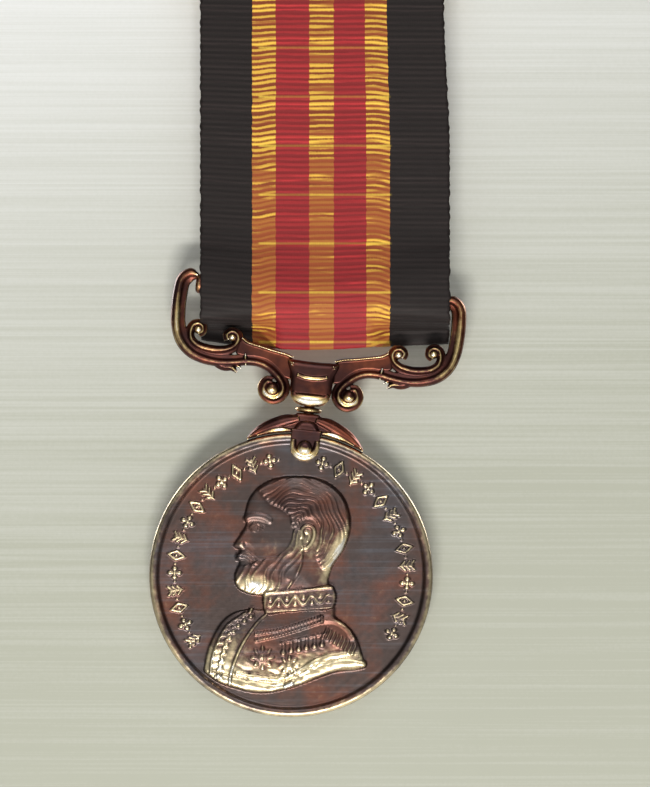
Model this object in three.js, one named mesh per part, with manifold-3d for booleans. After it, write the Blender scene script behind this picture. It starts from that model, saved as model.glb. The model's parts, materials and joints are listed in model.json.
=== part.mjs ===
// A military service medal on its ribbon and brooch, in millimetres.
// The medal hangs: +Z is up, -Y faces the viewer and +X is to the viewer's right.
// The origin is the middle of the brooch plate's flat back, which lies against the coat.
import * as THREE from "three";
import { mergeVertices } from "three/addons/utils/BufferGeometryUtils.js";
import Module from "manifold-3d";

const wasm = await Module();
wasm.setup();

// ---- driving dimensions -------------------------------------------------------------------

const GAP = 0.15; // clearance between neighbouring metal pieces
const HANG_Y = -1.7; // the plane that the ribbon, suspender and medal hang in

const PLATE = { width: 37.4, height: 7, thick: 1, corner: 1 };
const LAND = { half: 15.4, bottom: -3.3, top: 0.95, proud: 0.12 }; // the bare flat of the plate's back

const CLOTH = 0.5; // one layer of ribbon
const RIBBON_WIDTH = 31;
const RIBBON_HINGE_Z = -3.9; // where the ribbon bends under the plate
const WRAP_CLEAR = 0.2; // between the plate and the cloth round it
const HEM_BOTTOM_Z = 1.2; // the sewn end of the ribbon behind the plate

const BAR = { x: -0.53, z: -41.67, radius: 1.25, half: 15.9 };
const ROCK = THREE.MathUtils.degToRad(6.1); // the suspender hangs this far off level
const LOOP = {
  deep: 6.1, // the fold below the bar's middle line, in the ribbon's middle
  shallow: 3.9, // and at its sides, where it clears the scrolls
  deepHalf: 5.5,
  room: 0.4, // between the bar and the cloth
  round: 2, // below the bar's middle line, where the layers start to close
  part: 3.1, // above it, where they start to part
  join: 7.5, // and where they lie together
  peak: 6.7, // the top of the space between them
};

const SCROLL_THICK = 1.8;
const BOSS = { half: 2.75, top: -8.5, bottom: -14, thick: 3.6, bore: 0.95 };
const PIN_RADIUS = 0.75;
const COLLAR = { radius: 1.6, height: 0.7 };

const DISC = { radius: 18, rim: 1, thick: 2.8, field: 2, drop: 35.56 };
const CLAW = { thick: 3.4, grip: 4.7, toeHalf: 1.9, toeBottom: -20.8 };
const RIVET = { drop: 19.5, radius: 0.5, head: 1, dome: 0.45 };

const HINGE_X = 17.1; // the needle's rivet, at the viewer's right end of the plate
const NEEDLE = { y: 2.65, z: -1, radius: 0.4, coil: 1, thick: 1.3, bore: 0.45, length: 34.6, tip: 2.4 };
const BRACKET = { foot: 0.5, ear: 0.45, width: 2.4, inside: 1.7, above: 0.9 };
const PIVOT = { radius: 0.35, head: 0.65, proud: 0.3, half: 1.5 };
const CATCH = { x: -16.9, strip: 0.45, width: 2, foot: 1.9, under: 0.25, over: 0.3, lip: 0.2 };

// ---- materials ----------------------------------------------------------------------------

const silver = () =>
  new THREE.MeshStandardMaterial({ color: 0x6d5f5c, roughness: 0.35, metalness: 1 });
const steel = () =>
  new THREE.MeshStandardMaterial({ color: 0x9a978f, roughness: 0.35, metalness: 1 });
const gilding = () =>
  new THREE.MeshStandardMaterial({ color: 0x8d7f63, roughness: 0.4, metalness: 1 });
const cloth = () =>
  new THREE.MeshStandardMaterial({ color: 0x8a2a35, roughness: 0.9, metalness: 0 });

// ---- solid helpers ------------------------------------------------------------------------

// A closed geometry as a solid that can be joined and cut.
function solid(geometry) {
  const bare = new THREE.BufferGeometry().setAttribute(
    "position",
    (geometry.index ? geometry.toNonIndexed() : geometry).getAttribute("position"),
  );
  const merged = mergeVertices(bare, 1e-3);
  const mesh = new wasm.Mesh({
    numProp: 3,
    vertProperties: merged.attributes.position.array,
    triVerts: new Uint32Array(merged.index.array),
  });
  return new wasm.Manifold(mesh);
}

// A solid as a geometry again.
function geometryOf(body) {
  const mesh = body.getMesh();
  const geometry = new THREE.BufferGeometry();
  geometry.setAttribute("position", new THREE.BufferAttribute(mesh.vertProperties, 3));
  geometry.setIndex(new THREE.BufferAttribute(mesh.triVerts, 1));
  geometry.computeVertexNormals();
  return geometry;
}

const point = ([x, y]) => new THREE.Vector2(x, y);

function named(name, geometry, material) {
  const mesh = new THREE.Mesh(geometry, material);
  mesh.name = name;
  return mesh;
}

// An outline drawn in X and Z, made into a plate centred on y.
function plateOf(shape, thick, y = 0, curveSegments = 8) {
  const options = { depth: thick, bevelEnabled: false, curveSegments };
  const geometry = new THREE.ExtrudeGeometry(shape, options);
  return geometry.rotateX(Math.PI / 2).translate(0, y + thick / 2, 0);
}

// An outline drawn in Y and Z, made into a bar of that section along X.
function barOf(shape, length, x = 0) {
  const geometry = new THREE.ExtrudeGeometry(shape, { depth: length, bevelEnabled: false });
  const turn = new THREE.Matrix4().makeBasis(
    new THREE.Vector3(0, 1, 0),
    new THREE.Vector3(0, 0, 1),
    new THREE.Vector3(1, 0, 0),
  );
  return geometry.applyMatrix4(turn).translate(x - length / 2, 0, 0);
}

// A profile of [radius, height] points turned round the Z axis.
function turned(profile, segments = 24) {
  return new THREE.LatheGeometry(profile.map(point), segments).rotateX(Math.PI / 2);
}

function cylinderAlong(axis, radius, length, segments = 16) {
  const geometry = new THREE.CylinderGeometry(radius, radius, length, segments);
  if (axis === "x") geometry.rotateZ(Math.PI / 2);
  if (axis === "z") geometry.rotateX(Math.PI / 2);
  return geometry;
}

// A strip of even width along a smooth line through the given points.
function bandShape(centres, width, steps) {
  const line = new THREE.SplineCurve(centres.map(point));
  const outer = [];
  const inner = [];
  for (let i = 0; i <= steps; i++) {
    const t = i / steps;
    const at = line.getPointAt(t);
    const along = line.getTangentAt(t);
    const side = new THREE.Vector2(-along.y, along.x).multiplyScalar(width / 2);
    outer.push(at.clone().add(side));
    inner.push(at.clone().sub(side));
  }
  return new THREE.Shape([...outer, ...inner.reverse()]);
}

function mirrored(points) {
  return points.map(([x, z]) => [-x, z]);
}

function roundedBox(width, height, corner) {
  const w = width / 2;
  const h = height / 2;
  const shape = new THREE.Shape();
  shape.moveTo(-w + corner, -h);
  shape.lineTo(w - corner, -h);
  shape.absarc(w - corner, -h + corner, corner, -Math.PI / 2, 0);
  shape.absarc(w - corner, h - corner, corner, 0, Math.PI / 2);
  shape.absarc(-w + corner, h - corner, corner, Math.PI / 2, Math.PI);
  shape.absarc(-w + corner, -h + corner, corner, Math.PI, 1.5 * Math.PI);
  return shape;
}

// ---- brooch -------------------------------------------------------------------------------

function broochPlate() {
  const back = -LAND.proud;
  const shape = roundedBox(PLATE.width, PLATE.height, PLATE.corner);
  const sheet = plateOf(shape, PLATE.thick - LAND.proud, (back - PLATE.thick) / 2);
  const height = LAND.top - LAND.bottom;
  const land = new THREE.BoxGeometry(2 * LAND.half, PLATE.thick / 2, height);
  land.translate(0, -PLATE.thick / 4, LAND.bottom + height / 2);
  const body = solid(sheet).add(solid(land));
  return named("brooch_plate", geometryOf(body), gilding());
}

// A folded strap: a foot on the plate and two ears that hold the needle's rivet.
function hingeBracket() {
  const { foot, ear, width, inside, above } = BRACKET;
  const tall = NEEDLE.y + above + LAND.proud;
  const parts = [new THREE.BoxGeometry(width, foot, inside + 2 * ear).translate(0, foot / 2, 0)];
  for (const side of [-1, 1]) {
    const plate = new THREE.BoxGeometry(width, tall, ear);
    parts.push(plate.translate(0, tall / 2, (side * (inside + ear)) / 2));
  }
  const strap = parts.map(solid).reduce((a, b) => a.add(b));
  const hole = cylinderAlong("z", NEEDLE.bore, 6).translate(0, NEEDLE.y + LAND.proud, 0);
  const mesh = named("hinge_bracket", geometryOf(strap.subtract(solid(hole))), steel());
  mesh.position.set(HINGE_X, -LAND.proud, NEEDLE.z);
  return mesh;
}

// The rivet's heads are closed over the two ears.
function hingeRivet() {
  const { radius, head, proud, half } = PIVOT;
  const profile = [
    [0, -half - proud],
    [head - 0.1, -half - proud],
    [head, -half + 0.1],
    [radius, -half + 0.1],
    [radius, half - 0.1],
    [head, half - 0.1],
    [head - 0.1, half + proud],
    [0, half + proud],
  ];
  const mesh = named("hinge_rivet", turned(profile, 16), steel());
  mesh.position.set(HINGE_X, NEEDLE.y, NEEDLE.z);
  return mesh;
}

// A bent strip that the needle's point drops behind.
function catchHook() {
  const { x, strip, width, foot, lip } = CATCH;
  const back = -LAND.proud;
  const under = NEEDLE.z - NEEDLE.radius - CATCH.under;
  const tip = NEEDLE.y + NEEDLE.radius + CATCH.over;
  const shape = new THREE.Shape(
    [
      [back, under + foot],
      [back + strip, under + foot],
      [back + strip, under],
      [tip, under],
      [tip, under + lip],
      [tip + strip, under + lip],
      [tip + strip, under - strip],
      [back, under - strip],
    ].map(point),
  );
  return named("catch_hook", barOf(shape, width, x), steel());
}

// A wire with an eye round the rivet and a sharpened point.
function broochNeedle() {
  const { y, z, radius, coil, thick, bore, length, tip } = NEEDLE;
  const shaft = length - coil;
  const start = -coil / 2;
  const wire = cylinderAlong("x", radius, shaft, 12).translate(start - shaft / 2, 0, 0);
  const cone = new THREE.ConeGeometry(radius, tip, 12).rotateZ(Math.PI / 2);
  const body = solid(cylinderAlong("z", coil, thick))
    .add(solid(wire))
    .add(solid(cone.translate(start - shaft - tip / 2 + 0.01, 0, 0)))
    .subtract(solid(cylinderAlong("z", bore, 2 * thick)));
  const mesh = named("brooch_needle", geometryOf(body), steel());
  mesh.position.set(HINGE_X, y, z);
  return mesh;
}

// ---- ribbon -------------------------------------------------------------------------------

// The ribbon's two layers in front of the plate, turned over its top edge and hemmed behind.
function ribbonUpper() {
  const back = WRAP_CLEAR;
  const front = -PLATE.thick - WRAP_CLEAR;
  const top = PLATE.height / 2 + WRAP_CLEAR;
  const start = RIBBON_HINGE_Z + CLOTH + WRAP_CLEAR;
  const outer = 2 * CLOTH;
  const shape = new THREE.Shape();
  shape.moveTo(front - outer, start);
  shape.lineTo(front, start);
  shape.lineTo(front, top);
  shape.lineTo(back, top);
  shape.lineTo(back, HEM_BOTTOM_Z);
  shape.lineTo(back + CLOTH, HEM_BOTTOM_Z);
  shape.lineTo(back + CLOTH, top + 0.1);
  shape.quadraticCurveTo(back + CLOTH, top + 0.6, back, top + 0.6);
  shape.lineTo(front - 0.2, top + 0.6);
  shape.quadraticCurveTo(front - outer, top + 0.6, front - outer, top - 0.3);
  return named("ribbon_upper", barOf(shape, RIBBON_WIDTH), cloth());
}

// The outside of the hanging loop: two layers that part round the bar and fold under it.
function loopOutside(depth) {
  const fold = BAR.z - depth;
  const wide = BAR.radius + LOOP.room + CLOTH;
  const parted = BAR.z + LOOP.part;
  const joined = BAR.z + LOOP.join;
  const round = BAR.z - LOOP.round;
  const shape = new THREE.Shape();
  shape.moveTo(wide, round);
  shape.lineTo(wide, parted);
  shape.lineTo(CLOTH, joined);
  shape.lineTo(CLOTH, RIBBON_HINGE_Z);
  shape.absarc(0, RIBBON_HINGE_Z, CLOTH, 0, Math.PI);
  shape.lineTo(-CLOTH, joined);
  shape.lineTo(-wide, parted);
  shape.lineTo(-wide, round);
  shape.bezierCurveTo(-wide, fold + 0.6, -wide / 2, fold, 0, fold);
  shape.bezierCurveTo(wide / 2, fold, wide, fold + 0.6, wide, round);
  return shape;
}

// The space inside the loop, where the bar lies.
function loopInside(depth) {
  const fold = BAR.z - depth + CLOTH;
  const half = BAR.radius + LOOP.room;
  const parted = BAR.z + LOOP.part;
  const round = BAR.z - LOOP.round;
  const shape = new THREE.Shape();
  shape.moveTo(half, round);
  shape.lineTo(half, parted);
  shape.lineTo(0, BAR.z + LOOP.peak);
  shape.lineTo(-half, parted);
  shape.lineTo(-half, round);
  shape.bezierCurveTo(-half, fold + 0.4, -half / 2, fold, 0, fold);
  shape.bezierCurveTo(half / 2, fold, half, fold + 0.4, half, round);
  return shape;
}

// The loop hangs deeper in the middle than at its sides, where the scrolls are.
function ribbonLower() {
  const middle = 2 * LOOP.deepHalf;
  const body = solid(barOf(loopOutside(LOOP.shallow), RIBBON_WIDTH))
    .add(solid(barOf(loopOutside(LOOP.deep), middle)))
    .subtract(solid(barOf(loopInside(LOOP.shallow), RIBBON_WIDTH + 2)))
    .subtract(solid(barOf(loopInside(LOOP.deep), middle - 2 * CLOTH)));
  const geometry = geometryOf(body).translate(0, HANG_Y, 0);
  return named("ribbon_lower", geometry, cloth());
}

// ---- suspender: everything below is drawn level, about the middle of the bar ----------------

function ribbonBar() {
  return named("ribbon_bar", cylinderAlong("x", BAR.radius, 2 * BAR.half), silver());
}

// The long S of one side: from the bar's end round the outer C, along the arm, into a small volute.
const S_SCROLL = [
  [16.4, 0.72],
  [17.35, 0.3],
  [17.8, -1.4],
  [17.75, -4.4],
  [17.0, -7.0],
  [15.1, -8.75],
  [12.6, -9.35],
  [10.4, -9.3],
  [8.4, -9.0],
  [6.6, -9.05],
  [5.05, -9.75],
  [3.95, -10.9],
  [3.6, -12.2],
  [4.2, -13.15],
  [5.2, -13.2],
  [5.9, -12.4],
  [5.85, -11.8],
];
// The cup of the small C that lies inside the big one.
const CUP = [
  [15.95, -6.3],
  [15.6, -7.3],
  [14.4, -8.05],
  [12.9, -8.25],
  [11.3, -8.05],
  [10.2, -7.4],
  [9.85, -6.5],
];
const LEAF = [
  [11.7, -9.7],
  [8.9, -9.3],
  [9.6, -10.5],
];

function scroll(name, side) {
  const flip = side < 0 ? mirrored : (points) => points;
  const strip = bandShape(flip(S_SCROLL), 1.25, 72);
  const cup = bandShape(flip(CUP), 0.95, 24);
  const leaf = new THREE.Shape(flip(LEAF).map(point));
  const body = solid(plateOf(strip, SCROLL_THICK))
    .add(solid(plateOf(cup, SCROLL_THICK)))
    .add(solid(plateOf(leaf, 1.2)));
  return named(name, geometryOf(body), silver());
}

// The flat strap that ties a cup to the boss, above the arm.
function strap(name, side) {
  const flip = side < 0 ? mirrored : (points) => points;
  const inner = BOSS.half + 0.4 + GAP;
  const edge = [
    [inner, -8.05],
    [5, -7.55],
    [7, -7.1],
    [9.1, -6.75],
    [9.25, -7.9],
    [8.6, -8.15],
    [6.5, -8.2],
    [5.4, -8.35],
    [4.4, -8.95],
    [inner, -9.3],
  ];
  return named(name, plateOf(new THREE.Shape(flip(edge).map(point)), 1.3), silver());
}

// The boss: a shield-shaped block with a wider cap, bored down its length for the swivel pin.
function swivelBoss() {
  const cap = BOSS.half + 0.4;
  const outline = new THREE.Shape();
  outline.moveTo(-cap, BOSS.top);
  outline.lineTo(-cap, BOSS.top - 1.1);
  outline.lineTo(-BOSS.half, BOSS.top - 1.9);
  outline.lineTo(-BOSS.half, BOSS.bottom + 2.2);
  outline.quadraticCurveTo(-BOSS.half, BOSS.bottom, -1.3, BOSS.bottom);
  outline.lineTo(1.3, BOSS.bottom);
  outline.quadraticCurveTo(BOSS.half, BOSS.bottom, BOSS.half, BOSS.bottom + 2.2);
  outline.lineTo(BOSS.half, BOSS.top - 1.9);
  outline.lineTo(cap, BOSS.top - 1.1);
  outline.lineTo(cap, BOSS.top);
  const height = BOSS.top - BOSS.bottom;
  const bore = cylinderAlong("z", BOSS.bore, height + 2).translate(0, 0, BOSS.top - height / 2);
  const sink = cylinderAlong("z", 1.35, 1.4).translate(0, 0, BOSS.top);
  const body = solid(plateOf(outline, BOSS.thick)).subtract(solid(bore)).subtract(solid(sink));
  return named("swivel_boss", geometryOf(body), silver());
}

// ---- medal: the pieces that turn together in the boss ---------------------------------------

// The pin's riveted head sits in the boss's countersink and its foot in the claw.
function swivelPin() {
  const head = BOSS.top - 0.55;
  const profile = [
    [0, BOSS.bottom - 1.1],
    [PIN_RADIUS, BOSS.bottom - 1.1],
    [PIN_RADIUS, head],
    [1.2, head],
    [1.15, head + 0.35],
    [0.6, head + 0.6],
    [0, head + 0.65],
  ];
  return named("swivel_pin", turned(profile, 20), silver());
}

function swivelCollar() {
  const bottom = BOSS.bottom - GAP - COLLAR.height;
  const inner = PIN_RADIUS + 0.1;
  const profile = [
    [inner, bottom],
    [COLLAR.radius - 0.2, bottom],
    [COLLAR.radius, bottom + COLLAR.height / 2],
    [COLLAR.radius - 0.2, bottom + COLLAR.height],
    [inner, bottom + COLLAR.height],
    [inner, bottom],
  ];
  return named("swivel_collar", turned(profile, 24), silver());
}

// The claw: shoulders that follow the medal's rim, and a rounded toe on each face.
function claw() {
  const seat = DISC.radius + GAP;
  const top = BOSS.bottom - 2 * GAP - COLLAR.height;
  const reach = 0.41; // half the angle of rim that the shoulders cover, in radians
  const from = Math.PI / 2 - reach;
  const shoulders = new THREE.Shape();
  shoulders.moveTo(1.5, top);
  shoulders.lineTo(1.8, top - 0.35);
  shoulders.quadraticCurveTo(4.6, top - 0.7, 5.6, top - 2);
  shoulders.lineTo(seat * Math.cos(from), seat * Math.sin(from) - DISC.drop);
  shoulders.absarc(0, -DISC.drop, seat, from, Math.PI - from);
  shoulders.lineTo(-5.6, top - 2);
  shoulders.quadraticCurveTo(-4.6, top - 0.7, -1.8, top - 0.35);
  shoulders.lineTo(-1.5, top);
  let body = solid(plateOf(shoulders, CLAW.thick, 0, 24));
  const toeTop = top - 1.2;
  const round = CLAW.toeBottom + CLAW.toeHalf;
  const toe = new THREE.Shape();
  toe.moveTo(CLAW.toeHalf, toeTop);
  toe.lineTo(-CLAW.toeHalf, toeTop);
  toe.absarc(0, round, CLAW.toeHalf, Math.PI, 2 * Math.PI);
  const wall = (CLAW.grip - DISC.thick) / 2 - GAP;
  for (const side of [-1, 1]) {
    const y = side * (DISC.thick / 2 + GAP + wall / 2);
    body = body.add(solid(plateOf(toe, wall, y)));
  }
  const root = new THREE.BoxGeometry(2 * CLAW.toeHalf, CLAW.grip, 1.1);
  body = body.add(solid(root.translate(0, 0, toeTop - 0.55)));
  const rivetHole = cylinderAlong("y", RIVET.radius + 0.1, 8).translate(0, 0, -RIVET.drop);
  const pinHole = cylinderAlong("z", PIN_RADIUS + 0.1, 0.9).translate(0, 0, top);
  body = body.subtract(solid(rivetHole)).subtract(solid(pinHole));
  return named("claw", geometryOf(body), silver());
}

// A rivet with a domed head on each toe.
function clawRivet() {
  const face = CLAW.grip / 2 + 0.05;
  const profile = [
    [0, -face - RIVET.dome],
    [RIVET.head * 0.6, -face - RIVET.dome * 0.75],
    [RIVET.head, -face],
    [RIVET.radius, -face],
    [RIVET.radius, face],
    [RIVET.head, face],
    [RIVET.head * 0.6, face + RIVET.dome * 0.75],
    [0, face + RIVET.dome],
  ];
  const geometry = turned(profile, 20).rotateX(Math.PI / 2).translate(0, 0, -RIVET.drop);
  return named("claw_rivet", geometry, silver());
}

// The struck disc: a field on each face inside a raised rim.
function medalDisc() {
  const { radius, rim, thick, field } = DISC;
  const profile = [
    [0, -field / 2],
    [radius - rim - 0.15, -field / 2],
    [radius - rim, -thick / 2],
    [radius - 0.15, -thick / 2],
    [radius, -thick / 2 + 0.15],
    [radius, thick / 2 - 0.15],
    [radius - 0.15, thick / 2],
    [radius - rim, thick / 2],
    [radius - rim - 0.15, field / 2],
    [0, field / 2],
  ];
  const disc = turned(profile, 96).rotateX(Math.PI / 2).translate(0, 0, -DISC.drop);
  const hole = cylinderAlong("y", RIVET.radius + 0.1, 8).translate(0, 0, -RIVET.drop);
  return named("medal_disc", geometryOf(solid(disc).subtract(solid(hole))), silver());
}

// ---- assembly -----------------------------------------------------------------------------

const medal = new THREE.Group();
medal.add(broochPlate(), hingeBracket(), hingeRivet(), catchHook(), broochNeedle());
medal.add(ribbonUpper(), ribbonLower());

const suspender = new THREE.Group();
suspender.position.set(BAR.x, HANG_Y, BAR.z);
suspender.rotation.y = ROCK;
suspender.add(ribbonBar(), scroll("left_scroll", -1), scroll("right_scroll", 1));
suspender.add(strap("left_strap", -1), strap("right_strap", 1), swivelBoss());
suspender.add(swivelPin(), swivelCollar(), claw(), clawRivet(), medalDisc());
medal.add(suspender);

export default medal;
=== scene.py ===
import json
import math

import bmesh
import bpy
import numpy as np
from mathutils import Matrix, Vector


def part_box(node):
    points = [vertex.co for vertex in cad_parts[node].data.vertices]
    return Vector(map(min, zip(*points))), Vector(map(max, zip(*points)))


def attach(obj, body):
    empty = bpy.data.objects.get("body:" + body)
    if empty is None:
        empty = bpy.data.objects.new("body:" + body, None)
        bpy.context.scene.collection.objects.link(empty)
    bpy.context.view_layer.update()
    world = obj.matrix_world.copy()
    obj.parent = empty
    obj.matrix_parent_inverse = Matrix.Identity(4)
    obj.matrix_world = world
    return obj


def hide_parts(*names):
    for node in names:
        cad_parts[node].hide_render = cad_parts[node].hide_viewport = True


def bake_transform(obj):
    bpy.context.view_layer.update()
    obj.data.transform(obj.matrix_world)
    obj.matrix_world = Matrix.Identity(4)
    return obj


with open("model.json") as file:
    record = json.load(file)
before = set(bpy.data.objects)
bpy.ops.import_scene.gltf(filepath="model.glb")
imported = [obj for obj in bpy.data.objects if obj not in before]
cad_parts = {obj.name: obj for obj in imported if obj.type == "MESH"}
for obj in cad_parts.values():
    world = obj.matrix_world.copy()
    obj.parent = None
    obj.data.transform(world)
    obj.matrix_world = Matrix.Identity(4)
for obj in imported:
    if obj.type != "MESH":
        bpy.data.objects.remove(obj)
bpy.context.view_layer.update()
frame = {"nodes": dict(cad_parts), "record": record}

# A toned-silver service medal on its ribbon and brooch. Lengths below are in millimetres. A place
# is in the row's own frame, in "hung", the suspender's level frame about the bar's middle, or in
# "struck", the disc's frame about its middle. A place in a plane is (across, up).

MM = 0.001
joints = {j["name"]: j for j in frame["record"]["behaviour"]["joints"]}
BAR_AT = np.array(joints["bar_rock"]["pos_m"]) / MM
swing = joints["suspender_swing"]["axis"]
ROCK = math.atan2(swing[2], -swing[0])  # how far the suspender hangs off level
ACROSS = np.array([math.cos(ROCK), 0.0, -math.sin(ROCK)])
UPWARD = np.array([math.sin(ROCK), 0.0, math.cos(ROCK)])
OUT = np.array([0.0, 1.0, 0.0])
disc_low, disc_high = (np.array(c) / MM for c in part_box("medal_disc"))
DISC_AT = (disc_low + disc_high) / 2
DISC_R = (disc_high[2] - disc_low[2]) / 2
DROP = float(np.dot(DISC_AT - BAR_AT, UPWARD))  # the disc's middle, in the hung frame
PLATE_LOW, PLATE_HIGH = (np.array(c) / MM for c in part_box("brooch_plate"))


def hung(points):
    """Points (across, out, up) of the hung frame, in the row frame."""
    p = np.asarray(points, float)
    return BAR_AT + p[:, :1] * ACROSS + p[:, 1:2] * OUT + p[:, 2:3] * UPWARD


def upright(points):
    """Points that are in the row frame already."""
    return np.asarray(points, float)


# ---- numbers ----


def step(x, low, high):
    """0 below low and 1 above high, smoothly."""
    t = np.clip((x - low) / (high - low), 0, 1)
    return t * t * (3 - 2 * t)


def dome(distance, reach):
    """0 at an edge, rising like a quarter round to 1 at reach inside it."""
    t = np.clip(distance / reach, 0, 1)
    return np.sqrt(1 - (1 - t) ** 2)


def smooth_line(points, count, closed=False):
    """A smooth line through the points, as count points evenly spaced along it."""
    p = np.asarray(points, float)
    if closed:
        p = np.vstack([p[-1], p, p[0], p[1]])
    else:
        p = np.vstack([2 * p[0] - p[1], p, 2 * p[-1] - p[-2]])
    t = np.linspace(0, 1, 24, endpoint=False)[:, None]
    parts = []
    for a, b, c, d in zip(p, p[1:], p[2:], p[3:]):
        turn = (2 * a - 5 * b + 4 * c - d) * t**2 + (3 * b - a - 3 * c + d) * t**3
        parts.append(0.5 * (2 * b + (c - a) * t + turn))
    dense = np.vstack(parts + [p[-2:-1]])
    run = np.concatenate([[0], np.cumsum(np.linalg.norm(np.diff(dense, axis=0), axis=1))])
    at = np.linspace(0, run[-1], count, endpoint=not closed)
    return np.stack([np.interp(at, run, dense[:, k]) for k in range(p.shape[1])], 1)


def to_line(a, b, line):
    """Distance from each point to a line of points, and how far along it the nearest place is."""
    best = np.full(a.shape, 1e9)
    along = np.zeros(a.shape)
    for k, (p, q) in enumerate(zip(line[:-1], line[1:])):
        d = q - p
        t = np.clip(((a - p[0]) * d[0] + (b - p[1]) * d[1]) / max(d @ d, 1e-12), 0, 1)
        here = np.hypot(a - p[0] - t * d[0], b - p[1] - t * d[1])
        near = here < best
        best = np.where(near, here, best)
        along = np.where(near, (k + t) / (len(line) - 1), along)
    return best, along


def inside(a, b, outline):
    """Distance in from a closed outline, negative outside it."""
    ring = np.vstack([outline, outline[:1]])
    distance, _ = to_line(a, b, ring)
    within = np.zeros(a.shape, bool)
    for p, q in zip(ring[:-1], ring[1:]):
        cross = (p[1] > b) != (q[1] > b)
        rise = q[1] - p[1]
        at = p[0] + (b - p[1]) * (q[0] - p[0]) / (rise if abs(rise) > 1e-12 else 1e-12)
        within ^= cross & (a < at)
    return np.where(within, distance, -distance)


def bump(a, b, at, radii, turn=0.0):
    """A soft round swelling of height 1."""
    c, s = math.cos(math.radians(turn)), math.sin(math.radians(turn))
    x, y = a - at[0], b - at[1]
    return np.exp(-(((x * c + y * s) / radii[0]) ** 2) - ((y * c - x * s) / radii[1]) ** 2)


def ripple(a, b, seed, size):
    """Slow random waves, from about -1 to 1."""
    draw = np.random.default_rng(seed)
    total = np.zeros(a.shape)
    for _ in range(6):
        angle, phase = draw.uniform(0, 2 * math.pi, 2)
        k = 2 * math.pi / (size * draw.uniform(0.7, 1.6))
        total += np.sin(k * (a * math.cos(angle) + b * math.sin(angle)) + phase)
    return total / 3


# ---- meshes ----


def grid_faces(rows, cols, wrap_cols=False, start=0):
    """The quads of a grid of points, numbered row by row from start."""
    i, j = np.meshgrid(np.arange(rows - 1), np.arange(cols - (not wrap_cols)), indexing="ij")
    i, j = i.ravel() * cols, j.ravel()
    m = (j + 1) % cols
    return start + np.stack([i + j, i + m, i + cols + m, i + cols + j], 1)


def capped(rows, cols):
    """The faces of a tube of rings, closed by fans to the two points that follow them."""
    j, top, back = np.arange(cols), rows * cols, (rows - 1) * cols
    after = (j + 1) % cols
    first = np.stack([np.full(cols, top), after, j], 1)
    last = np.stack([np.full(cols, top + 1), back + j, back + after], 1)
    return [grid_faces(rows, cols, wrap_cols=True), first, last]


def raw_mesh(name, points, faces):
    """A mesh datablock from points and a list of face arrays of 3 or 4 columns."""
    mesh = bpy.data.meshes.new(name)
    mesh.vertices.add(len(points))
    mesh.vertices.foreach_set("co", np.asarray(points, np.float32).ravel())
    loops = np.concatenate([f.ravel() for f in faces]).astype(np.int32)
    sizes = np.concatenate([np.full(len(f), f.shape[1]) for f in faces])
    mesh.loops.add(len(loops))
    mesh.loops.foreach_set("vertex_index", loops)
    mesh.polygons.add(len(sizes))
    starts = np.concatenate([[0], np.cumsum(sizes)[:-1]]).astype(np.int32)
    mesh.polygons.foreach_set("loop_start", starts)
    mesh.update(calc_edges=True)
    mesh.validate()
    return mesh


def joined(shells):
    """Several (points, faces) shells as one."""
    points, faces, count = [], [], 0
    for p, fs in shells:
        points.append(np.asarray(p, float))
        faces += [f + count for f in fs]
        count += len(p)
    return np.vstack(points), faces


def read_mesh(mesh):
    """A mesh's points and edges."""
    points = np.empty(len(mesh.vertices) * 3, np.float32)
    mesh.vertices.foreach_get("co", points)
    edges = np.empty(len(mesh.edges) * 2, np.int32)
    mesh.edges.foreach_get("vertices", edges)
    return points.reshape(-1, 3).astype(float), edges.reshape(-1, 2)


def spread(values, edges, count, rounds, keep=0.5):
    """Averages a per-point array with its neighbours."""
    both = np.concatenate([edges, edges[:, ::-1]])
    degree = np.maximum(np.bincount(both[:, 0], minlength=count), 1)
    flat = values.reshape(count, -1).astype(float)
    for _ in range(rounds):
        near = np.stack([np.bincount(both[:, 0], v[both[:, 1]], count) for v in flat.T], 1)
        flat = keep * flat + (1 - keep) * near / degree[:, None]
    return flat.reshape(values.shape)


def mark_wear_and_light(mesh, gain, lift=None):
    """Stores a wear value on each point: 0.5 on a flat, more on an edge, less in a hollow.
    The lift adds more wear, and painted highlights and painted shade where they are given.
    """
    points, edges = read_mesh(mesh)
    count = len(points)
    normals = np.empty(count * 3, np.float32)
    mesh.vertex_normals.foreach_get("vector", normals)
    normals = normals.reshape(-1, 3).astype(float)
    a, b = edges[:, 0], edges[:, 1]
    span = points[b] - points[a]
    bend = ((normals[b] - normals[a]) * span).sum(1) / np.maximum((span**2).sum(1), 1e-12)
    total = np.bincount(a, bend, count) + np.bincount(b, bend, count)
    degree = np.bincount(a, minlength=count) + np.bincount(b, minlength=count)
    curve = spread(total / np.maximum(degree, 1), edges, count, 3)
    wear_and_light = 0.5 + gain * curve
    if lift is not None:
        wear_and_light = wear_and_light + lift
    attribute = mesh.attributes.new("wear_and_light", "FLOAT", "POINT")
    attribute.data.foreach_set("value", np.clip(wear_and_light, 0, 1).astype(np.float32))


def finished(name, mesh, material, body, nodes, place):
    """Puts a mesh made in millimetres into the row frame, as a piece that stands for the nodes."""
    points, _ = read_mesh(mesh)
    mesh.vertices.foreach_set("co", (place(points) * MM).astype(np.float32).ravel())
    mesh.update()
    mesh.shade_smooth()
    obj = bpy.data.objects.new(name, mesh)
    bpy.context.scene.collection.objects.link(obj)
    mesh.materials.append(material)
    if body:
        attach(obj, body)
    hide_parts(*nodes)
    return obj


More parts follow.
